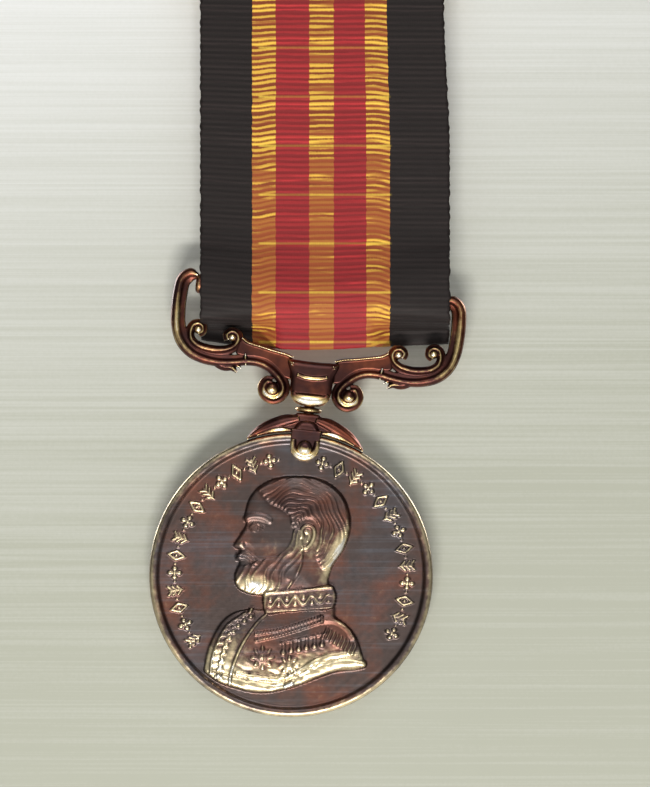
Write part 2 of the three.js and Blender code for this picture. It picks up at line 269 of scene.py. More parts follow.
def fused(name, shells, voxel):
    """Overlapping closed shells as one evenly meshed closed skin."""
    points, faces = joined(shells)
    obj = bpy.data.objects.new(name, raw_mesh(name + ".raw", points, faces))
    bpy.context.scene.collection.objects.link(obj)
    union = obj.modifiers.new("union", "REMESH")
    union.mode = "VOXEL"
    union.voxel_size = voxel
    made = obj.evaluated_get(bpy.context.evaluated_depsgraph_get())
    mesh = bpy.data.meshes.new_from_object(made)
    raw = obj.data
    bpy.data.objects.remove(obj)
    bpy.data.meshes.remove(raw)
    mesh.name = name
    return mesh


def cast(node, shells, material, body, voxel, relax, gain, place, painted_highlights=()):
    """One cast piece that stands for a CAD node: its shells are fused, its edges are softened by
    relax rounds, and its wear is marked, with painted highlights added to it. Each painted
    highlight is (across, up, radius across, radius up, turn, amount): a patch of brighter metal
    where the lamp below shines."""
    name = node + "_visual"
    mesh = fused(name, shells, voxel)
    points, edges = read_mesh(mesh)
    points = spread(points, edges, len(points), relax)
    mesh.vertices.foreach_set("co", points.astype(np.float32).ravel())
    mesh.update()
    lift = np.zeros(len(points))
    # each painted highlight raises the wear value, so the metal there shows bright
    for u, z, across, up, turn, amount in painted_highlights:
        lift += amount * bump(points[:, 0], points[:, 2], (u, z), (across, up), turn)
    mark_wear_and_light(mesh, gain, lift)
    finished(name, mesh, material, body, (node,), place)


# ---- shells ----


def sweep(line, section, widths, depths, y=0.0):
    """A closed band: a closed section of (across, out) points carried along a line in the plane."""
    line, section = np.asarray(line, float), np.asarray(section, float)
    n, m = len(line), len(section)
    along = np.gradient(line, axis=0)
    along /= np.linalg.norm(along, axis=1, keepdims=True)
    side = np.stack([-along[:, 1], along[:, 0]], 1)
    w, d = (np.broadcast_to(np.asarray(v, float), (n,))[:, None] for v in (widths, depths))
    across = section[None, :, 0] * w
    out = section[None, :, 1] * d + y
    u, z = (line[:, k : k + 1] + side[:, k : k + 1] * across for k in (0, 1))
    rings = np.stack([u, out, z], -1)
    points = np.vstack([rings.reshape(-1, 3), rings[0].mean(0), rings[-1].mean(0)])
    return points, capped(n, m)


def lathe(profile, at=(0, 0), axis="y", segments=40):
    """A profile of (radius, height) turned round an axis through at, whose ends lie on it."""
    profile = np.asarray(profile, float)
    angle = np.linspace(0, 2 * math.pi, segments, endpoint=False)
    r, h = profile[1:-1, :1], np.repeat(profile[1:-1, 1:], segments, 1)
    skin = np.stack([r * np.cos(angle), r * np.sin(angle), h], -1).reshape(-1, 3)
    ends = [[0, 0, profile[0, 1]], [0, 0, profile[-1, 1]]]
    x, y, z = np.vstack([skin, ends]).T
    u, v = x + at[0], y + at[1]
    order = {"x": (z, u, v), "y": (u, z, v), "z": (u, v, z)}[axis]
    return np.stack(order, 1), capped(len(profile) - 2, segments)


def ball(at, radius, y, depth):
    """A flattened ball."""
    t = np.linspace(-math.pi / 2, math.pi / 2, 13)
    return lathe(np.stack([radius * np.cos(t), y + depth * np.sin(t)], 1), at, segments=28)


def plate(outline, thick, bevel, y=0.0, rounds=3):
    """A flat plate of that outline with rounded edges on both faces."""
    outline = np.asarray(outline, float)
    n = len(outline)
    after, before = np.roll(outline, -1, 0), np.roll(outline, 1, 0)
    along = after - before
    along /= np.maximum(np.linalg.norm(along, axis=1, keepdims=True), 1e-9)
    side = np.stack([-along[:, 1], along[:, 0]], 1)
    if np.sum(outline[:, 0] * after[:, 1] - after[:, 0] * outline[:, 1]) < 0:
        side = -side
    rings = []
    angles = np.linspace(0, math.pi / 2, rounds + 1)
    for face in (-1, 1):
        for t in angles[::face]:
            ring = outline + side * bevel * (1 - math.cos(t))
            lift = thick / 2 - bevel * (1 - math.sin(t))
            rings.append(np.stack([ring[:, 0], np.full(n, y + face * lift), ring[:, 1]], 1))
    rows = len(rings)
    curve = bpy.data.curves.new("outline", "CURVE")
    curve.dimensions = "2D"
    curve.fill_mode = "BOTH"
    spline = curve.splines.new("POLY")
    spline.points.add(n - 1)
    ring = outline + side * bevel
    spline.points.foreach_set("co", np.column_stack([ring, np.zeros(n), np.ones(n)]).ravel())
    spline.use_cyclic_u = True
    obj = bpy.data.objects.new("outline", curve)
    filled = bpy.data.meshes.new_from_object(obj)
    flat, _ = read_mesh(filled)
    tris = []
    for poly in filled.polygons:
        v = list(poly.vertices)
        tris += [(v[0], v[k], v[k + 1]) for k in range(1, len(v) - 1)]
    bpy.data.objects.remove(obj)
    bpy.data.curves.remove(curve)
    bpy.data.meshes.remove(filled)
    # the filled cap may renumber the outline's points, so each is matched by place
    match = np.argmin(((flat[:, None, :2] - ring[None]) ** 2).sum(-1), 1)
    tris = match[np.array(tris)]
    wall = grid_faces(rows, n, wrap_cols=True)
    return np.vstack(rings), [wall, tris[:, ::-1], tris + (rows - 1) * n]


# ---- materials ----


def feed(tree, slot_at, value):
    """Links a value to a node's input, or sets the input to a number or a colour."""
    value = value.socket if isinstance(value, Value) else value
    if isinstance(value, bpy.types.NodeSocket):
        tree.links.new(value, slot_at)
    else:
        slot_at.default_value = (*value, 1.0) if isinstance(value, tuple) else value


class Value:
    """A material's number, written as arithmetic."""

    def __init__(self, tree, socket):
        self.tree, self.socket = tree, socket

    def math(self, kind, *others):
        node = self.tree.nodes.new("ShaderNodeMath")
        node.operation = kind
        for slot_at, value in zip(node.inputs, (self, *others)):
            feed(self.tree, slot_at, value)
        return Value(self.tree, node.outputs[0])

    def __add__(self, other):
        return self.math("ADD", other)

    def __sub__(self, other):
        return self.math("SUBTRACT", other)

    def __mul__(self, other):
        return self.math("MULTIPLY", other)

    def __truediv__(self, other):
        return self.math("DIVIDE", other)

    def absolute(self):
        return self.math("ABSOLUTE")

    def flipped(self):
        return self.math("MULTIPLY_ADD", -1.0, 1.0)

    def ramp(self, low, high):
        """0 below low and 1 above high, smoothly."""
        node = self.tree.nodes.new("ShaderNodeMapRange")
        node.interpolation_type = "SMOOTHSTEP"
        for name, value in (("Value", self), ("From Min", low), ("From Max", high)):
            feed(self.tree, node.inputs[name], value)
        return Value(self.tree, node.outputs["Result"])


class Nodes:
    """A node tree and short ways to write its nodes."""

    def __init__(self, tree):
        self.tree = tree

    def node(self, kind, *inputs, **settings):
        made = self.tree.nodes.new("ShaderNode" + kind)
        for key, value in settings.items():
            setattr(made, key, value)
        for slot_at, value in zip(made.inputs, inputs):
            feed(self.tree, slot_at, value)
        return made

    def split(self, source, kind="XYZ"):
        """The three parts of a vector or a colour."""
        return [Value(self.tree, part) for part in self.node("Separate" + kind, source).outputs]

    def attribute(self, name, output):
        return self.node("Attribute", attribute_name=name).outputs[output]

    def noise(self, scale, detail=3.0, rough=0.5, stretch=(1, 1, 1), source=None):
        """Noise over the piece's own coordinates, or a stored vector, stretched on each axis."""
        mapping = self.node("Mapping", source or self.node("TexCoord").outputs["Object"])
        mapping.inputs["Scale"].default_value = stretch
        node = self.node("TexNoise", mapping.outputs["Vector"])
        for name, value in (("Scale", scale), ("Detail", detail), ("Roughness", rough)):
            node.inputs[name].default_value = value
        return Value(self.tree, node.outputs["Fac"])

    def mix(self, share, a, b, kind="MIX"):
        node = self.node("Mix", data_type="RGBA", blend_type=kind)
        for k, value in ((0, share), (6, a), (7, b)):
            feed(self.tree, node.inputs[k], value)
        return node.outputs[2]


class Paint(Nodes):
    """A material round one Principled shader."""

    def __init__(self, name):
        self.material = bpy.data.materials.new(name)
        self.material.use_nodes = True
        super().__init__(self.material.node_tree)
        self.shader = self.tree.nodes["Principled BSDF"]

    def set(self, **values):
        """Feeds the shader's inputs, whose names are written with _ for a space."""
        for name, value in values.items():
            feed(self.tree, self.shader.inputs[name.replace("_", " ")], value)

    def bump(self, height, distance, strength):
        node = self.node("Bump")
        for name, value in (("Distance", distance), ("Strength", strength), ("Height", height)):
            feed(self.tree, node.inputs[name], value)
        self.tree.links.new(node.outputs["Normal"], self.shader.inputs["Normal"])


SCRATCH_DEPTH, RIB_DEPTH = 0.00002, 0.00006  # metres


def toned_silver(name, dark, warm, blue, bright, warm_at, streak, rub_from):
    """Silver under an old brown-purple tone, rubbed bright on its edges and darkest in its
    hollows. The stored wear value also brings painted highlights, shown as bright silver, and
    painted shade, shown as the hollows' dark tone.
    """
    p = Paint(name)
    wear_and_light = Value(p.tree, p.attribute("wear_and_light", "Fac"))
    clouds = p.noise(190.0, 4.0, 0.6)
    patches = p.noise(70.0, 3.0, 0.55)
    specks = p.noise(1500.0, 3.0, 0.6)
    lines = p.noise(1.0, 2.0, 0.5, (60, 60, 2600))
    scratches = p.noise(1.0, 3.0, 0.6, (900, 900, 9000))
    tone = p.mix(clouds.ramp(warm_at, 0.7), dark, warm)
    tone = p.mix(patches.ramp(0.48, 0.72) * (lines.ramp(0.35, 0.7) * 0.5 + 0.4), tone, blue)
    if streak:
        tone = p.mix(lines.ramp(0.5, 0.78) * streak, tone, tuple(1.9 * c for c in blue))
    # the wear value here holds real wear together with painted highlights and painted shade
    scuffed_and_lit = wear_and_light + (specks - 0.5) * 0.26 + (clouds - 0.5) * 0.42
    rub_and_light = scuffed_and_lit.ramp(rub_from, rub_from + 0.36)
    colour = p.mix(rub_and_light, tone, bright)
    colour = p.mix(scuffed_and_lit.ramp(0.84, 1.0) * 0.9, colour, (0.95, 0.93, 0.88))
    # dark tone in hollows, and painted shade where a lift pushes the wear value down
    colour = p.mix(wear_and_light.ramp(0.24, 0.46).flipped() * 0.75, colour, (0.012, 0.007, 0.008))
    rough = (specks * 0.14 + clouds * 0.12 + 0.24) - rub_and_light * 0.1
    p.set(Base_Color=colour, Metallic=1.0, Roughness=rough)
    p.bump(scratches * 0.5 + specks * 0.5, SCRATCH_DEPTH, 0.5)
    return p.material


def plain_metal(name, base, tone_shift, rough):
    """Plated metal with rubbed edges, fine scratches and dull spots."""
    p = Paint(name)
    wear_and_light = Value(p.tree, p.attribute("wear_and_light", "Fac"))
    clouds = p.noise(240.0, 4.0, 0.6)
    fine = p.noise(900.0, 3.0, 0.6)
    scratches = p.noise(1.0, 3.0, 0.6, (400, 6000, 6000))
    rub_and_light = (wear_and_light + (clouds - 0.5) * 0.3).ramp(0.55, 0.8)
    colour = p.mix(rub_and_light, base, tone_shift)
    colour = p.mix(clouds.ramp(0.58, 0.74) * 0.6, colour, (0.1, 0.08, 0.05))
    soot = wear_and_light.ramp(0.25, 0.45).flipped() * 0.8
    colour = p.mix(soot, colour, tuple(0.25 * c for c in base))
    p.set(Base_Color=colour, Metallic=1.0, Roughness=clouds * 0.25 + fine * 0.1 + rough)
    p.bump(scratches * 0.5 + fine * 0.5, SCRATCH_DEPTH, 0.5)
    return p.material


# The stripes' left edges across the ribbon, from its middle, with each one's rib colour and its
# darker gap colour, which is painted shade in the grooves between ribs.
BLACK = ((0.016, 0.011, 0.011), (0.010, 0.007, 0.007))
YELLOW = ((0.66, 0.39, 0.055), (0.20, 0.042, 0.014))
RED = ((0.335, 0.023, 0.027), (0.205, 0.016, 0.019))
ORANGE = (0.30, 0.070, 0.022)
GOLD = (0.78, 0.56, 0.07)
STRIPES = [
    (-15.8, BLACK), (-9.25, YELLOW), (-6.3, RED), (-2.1, YELLOW), (1.05, RED), (5.15, YELLOW),
    (8.25, BLACK),
]
RIB = 0.70  # the ribs' spacing
SLUB = 6.22  # the spacing of the thicker gold weft threads
SPAN = 32.0  # the width that the stripes' colour ramp covers


def ribbon_paint():
    """Ribbed silk: stripes across it, ribs along it with painted shade in the grooves between them,
    and a faint warp grain. Uses the point attribute "strip", which holds the place across and along
    the flat ribbon, and the height."""
    p = Paint("ribbed_silk")
    strip = p.attribute("strip", "Vector")
    across, along, up = p.split(strip)
    off_middle = across.absolute()
    wander = p.noise(1.0, 2.0, 0.5, (0.25, 0.35, 1), strip)
    fibre = p.noise(1.0, 2.0, 0.6, (5.5, 0.5, 1), strip)
    fuzz = p.noise(1.0, 2.0, 0.7, (9.0, 1.6, 1), strip)
    cloud = p.noise(1.0, 3.0, 0.5, (0.12, 0.22, 1), strip)
    count = along / RIB + (wander - 0.5) * 0.5
    rib = (count * (2 * math.pi)).math("COSINE") * 0.5 + 0.5
    each_rib = p.node("TexWhiteNoise", noise_dimensions="1D")
    p.tree.links.new(count.math("FLOOR").socket, each_rib.inputs["W"])
    shade = Value(p.tree, each_rib.outputs["Value"])
    edge = across + (fibre - 0.5) * 0.35
    ramps = []
    for which in (0, 1):
        ramp = p.node("ValToRGB", edge / SPAN + 0.5)
        ramp.color_ramp.interpolation = "CONSTANT"
        for k, (at, colours) in enumerate(STRIPES):
            place = at / SPAN + 0.5
            points = ramp.color_ramp.elements
            element = points[k] if k < 2 else points.new(place)
            element.position = place
            element.color = (*colours[which], 1.0)
        ramps.append(ramp.outputs[0])
    # painted light and shade: rib crests take the rib colour, the grooves between ribs the darker
    # gap colour
    lit = (rib + (fuzz - 0.5) * 0.7 + (shade - 0.5) * 0.7).ramp(0.12, 0.75)
    colour = p.mix(lit, ramps[1], ramps[0])
    # lower down, towards the middle and in slow patches, the ribbon is duller: the yellow turns
    # orange, the other stripes darken and the bright ribs fade
    middle = off_middle.ramp(4.0, 2.0)
    tone_shift = ((up * -1.0).ramp(18.0, 34.0) * 0.75 + (cloud - 0.5) * 3.6 + middle * 0.25 + 0.05)
    tone_shift = tone_shift.ramp(0.1, 0.8)
    yellow = p.split(ramps[0], "Color")[1].ramp(0.1, 0.3)
    colour = p.mix(tone_shift * yellow * 0.85, colour, ORANGE)
    colour = p.mix(tone_shift * yellow.flipped() * 0.3, colour, ramps[1])
    bright = shade.ramp(0.5, 0.9) * rib.ramp(0.3, 0.9) * (tone_shift.flipped() * 0.42 + 0.06)
    colour = p.mix(bright, colour, ramps[0], "ADD")
    slub = (((up + 41.2) / SLUB + 10.5).math("FRACT") - 0.5).absolute().ramp(0.035, 0.01)
    slub = slub * off_middle.ramp(8.6, 8.2) * (yellow * 0.5 + 0.2) * (fibre * 0.7 + 0.45)
    p.set(Base_Color=p.mix(slub, colour, GOLD), Roughness=0.62, Sheen_Weight=0.08)
    p.set(Sheen_Roughness=0.4, Specular_IOR_Level=0.22)
    p.bump(rib * 0.7 + fuzz * 0.6, RIB_DEPTH, 0.8)
    return p.material


SILVER_DISC = toned_silver(
    "toned_silver_disc",
    dark=(0.102, 0.077, 0.072),
    warm=(0.165, 0.074, 0.055),
    blue=(0.12, 0.125, 0.145),
    bright=(0.85, 0.71, 0.44),
    warm_at=0.39,
    streak=0.2,
    rub_from=0.56,
)
SILVER_CAST = toned_silver(
    "toned_silver_cast",
    dark=(0.066, 0.027, 0.024),
    warm=(0.235, 0.068, 0.036),
    blue=(0.085, 0.058, 0.062),
    bright=(0.92, 0.70, 0.32),
    warm_at=0.35,
    streak=0.0,
    rub_from=0.59,
)
GILDING = plain_metal("gilding_metal", (0.40, 0.30, 0.15), (0.80, 0.66, 0.40), 0.26)
STEEL = plain_metal("aged_steel", (0.34, 0.33, 0.31), (0.72, 0.71, 0.68), 0.22)
CLOTH = ribbon_paint()

# ---- ribbon ----

CLOTH_THICK = 0.42
CLOTH_HALF = 15.8  # half the ribbon's width
HANG_Y = float(BAR_AT[1])
BAR_Z = float(BAR_AT[2])
RIBBON_ROWS, RIBBON_COLS = 720, 54
FOLD_ACROSS = [-15.8, -12, -9, -6, -2.5, 2, 6.5, 9, 15.8]
FOLD_HEIGHT = [-47.3, -47.8, -48.15, -48.35, -48.45, -48.35, -48.1, -48.0, -47.8]


def ribbon_column(x):
    """The strip's middle line, as (out, up), at one place across it, from hem to hidden end."""
    fold = np.interp(x, FOLD_ACROSS, FOLD_HEIGHT)
    behind = float(step(abs(x), 5.4, 8.8))  # the corners swing behind the scrolls' cups
    top, plate_front = PLATE_HIGH[2], PLATE_LOW[1]
    front, back = HANG_Y - 0.27, HANG_Y + 0.27
    low_y = HANG_Y + 2.3 * behind
    droop = 0.25 * math.sin(x * 0.31 + 0.6)
    tilt = 0.115 * abs(x)  # the loop is taller at its ends, where the bar rocks up and down
    return [
        (0.50, 1.25), (0.50, 2.4), (0.50, top - 0.1), (0.18, top + 0.42), (-0.50, top + 0.50),
        (-1.45, top + 0.46), (plate_front - 0.95, top - 0.2), (plate_front - 1.00, 1.5),
        (plate_front - 0.99, -2.0), (front, -4.6), (front - 0.05, -14.0),
        (front + 0.04 * droop, -24.0), (front - 0.10, -33.5),
        (HANG_Y - 1.10, BAR_Z + 3.6 + tilt),
        (HANG_Y - 1.78, BAR_Z + 1.0 + tilt),
        (HANG_Y - 1.80, BAR_Z - 0.5 - 0.75 * tilt),
        (HANG_Y - 1.30 + 0.55 * behind, BAR_Z - 2.2 - 0.55 * tilt),
        (low_y - 0.62, BAR_Z - 3.9 - 0.2 * behind),
        (low_y - 0.36, fold + 0.65),
        (low_y, fold + CLOTH_THICK / 2),
        (low_y + 0.36, fold + 0.65),
        (low_y + 0.70 - 0.2 * behind, BAR_Z - 3.7),
        (HANG_Y + 1.55 + 0.45 * behind, BAR_Z - 1.9 - 0.4 * tilt),
        (HANG_Y + 1.80, BAR_Z + 0.4 + 0.5 * tilt),
        (HANG_Y + 1.30, BAR_Z + 3.2 + tilt),
        (back + 0.08, -34.6), (back + 0.02, -24.0), (back, -14.0), (back, -4.6),
        (plate_front - 0.45, -2.2), (plate_front - 0.44, 1.5), (plate_front - 0.44, 2.9),
    ]


def make_ribbon():
    """The whole ribbon as one strip with two faces, its ribs and its drawn-in edges."""
    steps = np.linspace(-1, 1, RIBBON_COLS)
    steps = np.sign(steps) * (1 - (1 - np.abs(steps)) ** 1.15)
    nominal = steps * CLOTH_HALF
    lines = np.stack([smooth_line(ribbon_column(x), RIBBON_ROWS) for x in nominal], 1)
    spans = np.linalg.norm(np.diff(lines, axis=0), axis=2).mean(1)
    along = np.concatenate([[0], np.cumsum(spans)])
    tangent = np.gradient(lines, axis=0)
    tangent /= np.linalg.norm(tangent, axis=2, keepdims=True)
    normal = np.stack([tangent[..., 1], -tangent[..., 0]], -1)
    up = lines[..., 1]
    narrow = 0.75 * (1 - step(-up, 4.0, 24.0)) * step(nominal, 0, 15)[None]
    wave = 0.07 * np.sin(along * 1.9 + 0.7) + 0.05 * np.sin(along * 4.3)
    edge = np.abs(steps)[None] ** 12
    x = nominal[None] - narrow + np.sign(steps)[None] * edge * wave[:, None]
    ribs = 0.045 * np.cos(2 * math.pi * along / RIB)[:, None] * np.ones_like(x)
    ribs = ribs + 0.02 * np.sin(nominal[None] * 9.0 + along[:, None] * 0.4)
    thin = CLOTH_THICK / 2 * (1 - 0.35 * edge)
    sides = []
    for face in (1, -1):
        shift = face * (thin + ribs)
        y, z = (lines[..., k] + normal[..., k] * shift for k in (0, 1))
        sides.append(np.stack([x, y, z], -1).reshape(-1, 3))
    rows, cols = RIBBON_ROWS, RIBBON_COLS
    count = rows * cols
    front = grid_faces(rows, cols)
    back = grid_faces(rows, cols, start=count)[:, ::-1]
    right = np.arange(1, rows) * cols + cols - 1
    bottom = (rows - 1) * cols + np.arange(cols - 2, -1, -1)
    left = np.arange(rows - 2, 0, -1) * cols
    ring = np.concatenate([np.arange(cols), right, bottom, left])
    after = np.roll(ring, -1)
    rim = np.stack([after, ring, ring + count, after + count], 1)
    mesh = raw_mesh("ribbon", np.vstack(sides), [front, back, rim])
    spots = (np.broadcast_to(nominal, x.shape), np.broadcast_to(along[:, None], x.shape), up)
    flat = np.stack(spots, -1).reshape(-1, 3)
    strip = np.vstack([flat, flat]).astype(np.float32)
    mesh.attributes.new("strip", "FLOAT_VECTOR", "POINT").data.foreach_set("vector", strip.ravel())
    nodes = ("ribbon_upper", "ribbon_lower")
    obj = finished("ribbon", mesh, CLOTH, None, nodes, upright)
    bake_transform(obj)


# ---- suspender ----

FINE = 0.062  # the voxel of the most detailed castings


def silver(node, shells, body, voxel, relax=3, gain=0.11, painted_highlights=()):
    cast(node, shells, SILVER_CAST, body, voxel, relax, gain, hung, painted_highlights)


def ridged(lean=0.0):
    """A band's section: a narrow ridge down its front, leaning to one side, on shoulders."""
    ridge = [(-0.30, -0.66), (-0.13, -0.93), (0.00, -1.02), (0.13, -0.93), (0.30, -0.66)]
    return [
        (-0.50, 0.72), (-0.50, -0.30), (-0.46, -0.48), *((u + lean, v) for u, v in ridge),
        (0.46, -0.48), (0.50, -0.30), (0.50, 0.72), (0.40, 0.88), (-0.40, 0.88),
    ]


ROD = [(0.5 * math.cos(t), 0.5 * math.sin(t)) for t in np.linspace(0, 2 * math.pi, 14)[:-1]]
S_LINE = [
    (15.75, 0.95), (16.75, 0.95), (17.55, 0.15), (17.78, -1.5), (17.80, -3.4), (17.60, -5.4),
    (16.95, -7.2), (15.75, -8.45), (14.1, -9.15), (12.2, -9.42), (10.3, -9.28), (8.6, -8.98),
    (7.0, -8.98), (5.6, -9.45), (4.45, -10.3), (3.60, -11.3), (3.35, -12.3), (3.85, -13.25),
    (4.80, -13.62), (5.80, -13.15), (6.15, -12.2), (5.70, -11.35), (4.95, -11.35),
]
CUP_LINE = [
    (14.95, -6.35), (14.42, -6.0), (14.45, -5.3), (15.1, -4.95), (15.8, -5.3), (16.05, -6.3),
    (15.72, -7.3), (14.7, -8.0), (12.9, -8.3), (11.2, -8.05), (10.12, -7.4), (9.72, -6.5),
    (10.05, -5.75), (10.8, -5.55), (11.38, -6.05), (11.15, -6.75),
]
EYES = [((15.0, -5.75), 0.62), ((10.6, -6.3), 0.62), ((4.9, -12.2), 0.86)]
LEAF = [(12.7, -9.8), (11.4, -10.1), (10.3, -10.15), (9.55, -10.75)]
LOBE = [(11.2, -9.9), (10.2, -9.75), (9.5, -9.9), (9.1, -10.15)]
BINDING = [(8.75, -8.2), (8.55, -9.7)]
STRAP_TOP = [(2.7, -8.1), (3.6, -7.78), (5.2, -7.5), (6.9, -7.15), (8.5, -6.8), (9.35, -6.3)]
STRAP_UNDER = [
    (9.75, -6.9), (9.95, -8.3), (8.6, -8.6), (7.2, -8.6), (5.8, -8.9), (4.6, -9.7), (3.6, -10.7),
    (2.6, -10.9),
]


def sided(points, side, count):
    """A smooth line drawn for the right side, or its mirror image for side -1."""
    return smooth_line([(side * u, z) for u, z in points], count)


def make_scroll(node, side):
    """One side's S band, the small cup inside its curve, a leaf and the volutes' eyes."""
    t = np.linspace(0, 1, 260)
    widths = 1.85 - 0.35 * step(t, 0.35, 0.55) - 0.25 * step(t, 0.72, 0.95)
    widths *= 0.45 + 0.55 * step(t, 0, 0.03)
    depths = 1 - 0.12 * step(t, 0.8, 1.0)
    cup_widths = 0.95 + 0.5 * np.exp(-((np.linspace(-1, 1, 170) / 0.5) ** 2))
    leaf_widths = 1.15 * np.sin(math.pi * (0.12 + 0.85 * np.linspace(0, 1, 40))) ** 0.8
    shells = [
        sweep(sided(S_LINE, side, 260), ridged(0.14 * side), widths, depths),
        sweep(sided(CUP_LINE, side, 170), ridged(-0.1 * side), cup_widths, 0.94),
        sweep(sided(LEAF, side, 40), ridged(), leaf_widths, 0.78),
        sweep(sided(LOBE, side, 24), ROD, 0.7 * np.linspace(1, 0.3, 24), 1.5),
        sweep(sided(BINDING, side, 14), ROD, 0.5, 2.0),
    ]
    shells += [ball((side * u, z), radius, -0.3, 0.95) for (u, z), radius in EYES]
    # painted highlights: brighter metal on the outer band, and under the cup's eyes and the small
    # volute
    painted_highlights = [
        (side * 17.7, -4.2, 0.45, 2.6, 0, 0.32), (side * 16.5, -7.9, 1.5, 0.9, side * 42, 0.16),
        (side * 14.9, -5.9, 0.6, 0.45, 0, 0.32), (side * 10.7, -6.5, 0.6, 0.45, 0, 0.32),
        (side * 4.9, -12.9, 1.2, 0.45, 0, 0.6),
    ]
    silver(node, shells, "suspender", FINE, gain=0.10, painted_highlights=painted_highlights)


def make_strap(node, side):
    """The flat web above an arm, with a raised edge along its top."""
    upper = sided(STRAP_TOP, side, 50)
    web = plate(np.vstack([upper, sided(STRAP_UNDER, side, 60)]), 1.25, 0.25)
    silver(node, [web, sweep(upper, ROD, 0.5, 1.9)], "suspender", FINE, relax=4, gain=0.05)


def make_boss():
    """The shield-shaped boss: a flared cap, a small moulding, and a deep round lower edge."""
    half, top, bottom = 2.72, -8.35, -14.0
    right = [
        (0.9, top + 0.02), (2.9, top + 0.08), (3.3, top - 0.25), (3.1, top - 0.95),
        (half, top - 1.9), (half - 0.05, top - 3.2), (half - 0.1, bottom + 1.8),
        (2.15, bottom + 0.55), (1.2, bottom + 0.05), (0, bottom),
    ]
    half_line = smooth_line(right, 70)
    shelf = smooth_line([(-1.9, -10.15), (-0.8, -10.42), (0.8, -10.42), (1.9, -10.15)], 40)
    bowl = [(-2.2, -12.35), (-1.7, -12.95), (0, -13.2), (1.7, -12.95), (2.2, -12.35)]
    bowl = smooth_line(bowl, 50)
    swell = np.sin(np.linspace(0.15, math.pi - 0.15, 50)) ** 0.5
    shells = [plate(np.vstack([half_line, half_line[::-1][1:] * [-1, 1]]), 3.5, 0.8, rounds=5)]
    for face in (-1, 1):
        shells.append(sweep(shelf, ROD, 0.62, 0.7, y=face * 1.62))
        shells.append(sweep(bowl, ROD, 1.7 * swell, 1.5 * swell, y=face * 1.5))
    # painted highlights: brighter metal under the round lower edge and under the moulding
    painted_highlights = [(0, -13.35, 2.1, 0.62, 0, 0.62), (0, -10.4, 1.4, 0.35, 0, 0.25)]
    silver("swivel_boss", shells, "suspender", FINE, gain=0.07, painted_highlights=painted_highlights)


def make_bar():
    """The round bar, with a soft shoulder near each end."""
    half, radius = 15.95, 1.27
    end = [(0, half + 0.02), (0.85, half), (1.1, half - 0.12), (radius, half - 0.35)]
    end.append((radius, half - 0.9))
    profile = [(r, -x) for r, x in end] + [(radius, 0)] + end[::-1]
    silver("ribbon_bar", [lathe(profile, axis="x", segments=48)], "bar", 0.09)


# ---- medal: pin, collar, claw and rivet ----

PIN = [
    (0, -15.1), (0.74, -15.1), (0.74, -9.05), (1.12, -9.02), (1.18, -8.82), (1.0, -8.56),
    (0.6, -8.4), (0, -8.36),
]
COLLAR_RING = [
    (0, -14.15), (1.25, -14.15), (1.62, -14.3), (1.72, -14.5), (1.62, -14.7), (1.25, -14.86),
    (0, -14.86),
]
NECK = [(0, -16.2), (1.45, -16.2), (1.62, -15.6), (1.4, -15.2), (1.2, -14.97), (0, -14.97)]
RIVET_END = [(0, 2.98), (0.45, 2.93), (0.82, 2.72), (0.98, 2.4), (0.98, 2.2), (0.5, 2.15)]
RIVET_Z, TOE_Z = -19.3, -18.92
CLAW_TOP = [
    (0.0, -14.95), (1.35, -14.95), (1.75, -15.2), (3.0, -15.35), (4.5, -16.0), (5.7, -16.75),
    (6.6, -17.6), (7.45, -18.75),
]
CLAW_LEAF = [(1.1, -15.7), (2.6, -16.15), (4.2, -16.85), (5.9, -17.75), (7.1, -18.6)]
CLAW_FOOT = [(1.9, -17.25), (3.3, -17.3), (4.9, -17.75), (6.2, -18.35)]
CLAW_ROOT = [(0, -15.75), (0.95, -15.95), (1.5, -16.6), (1.83, -17.5)]


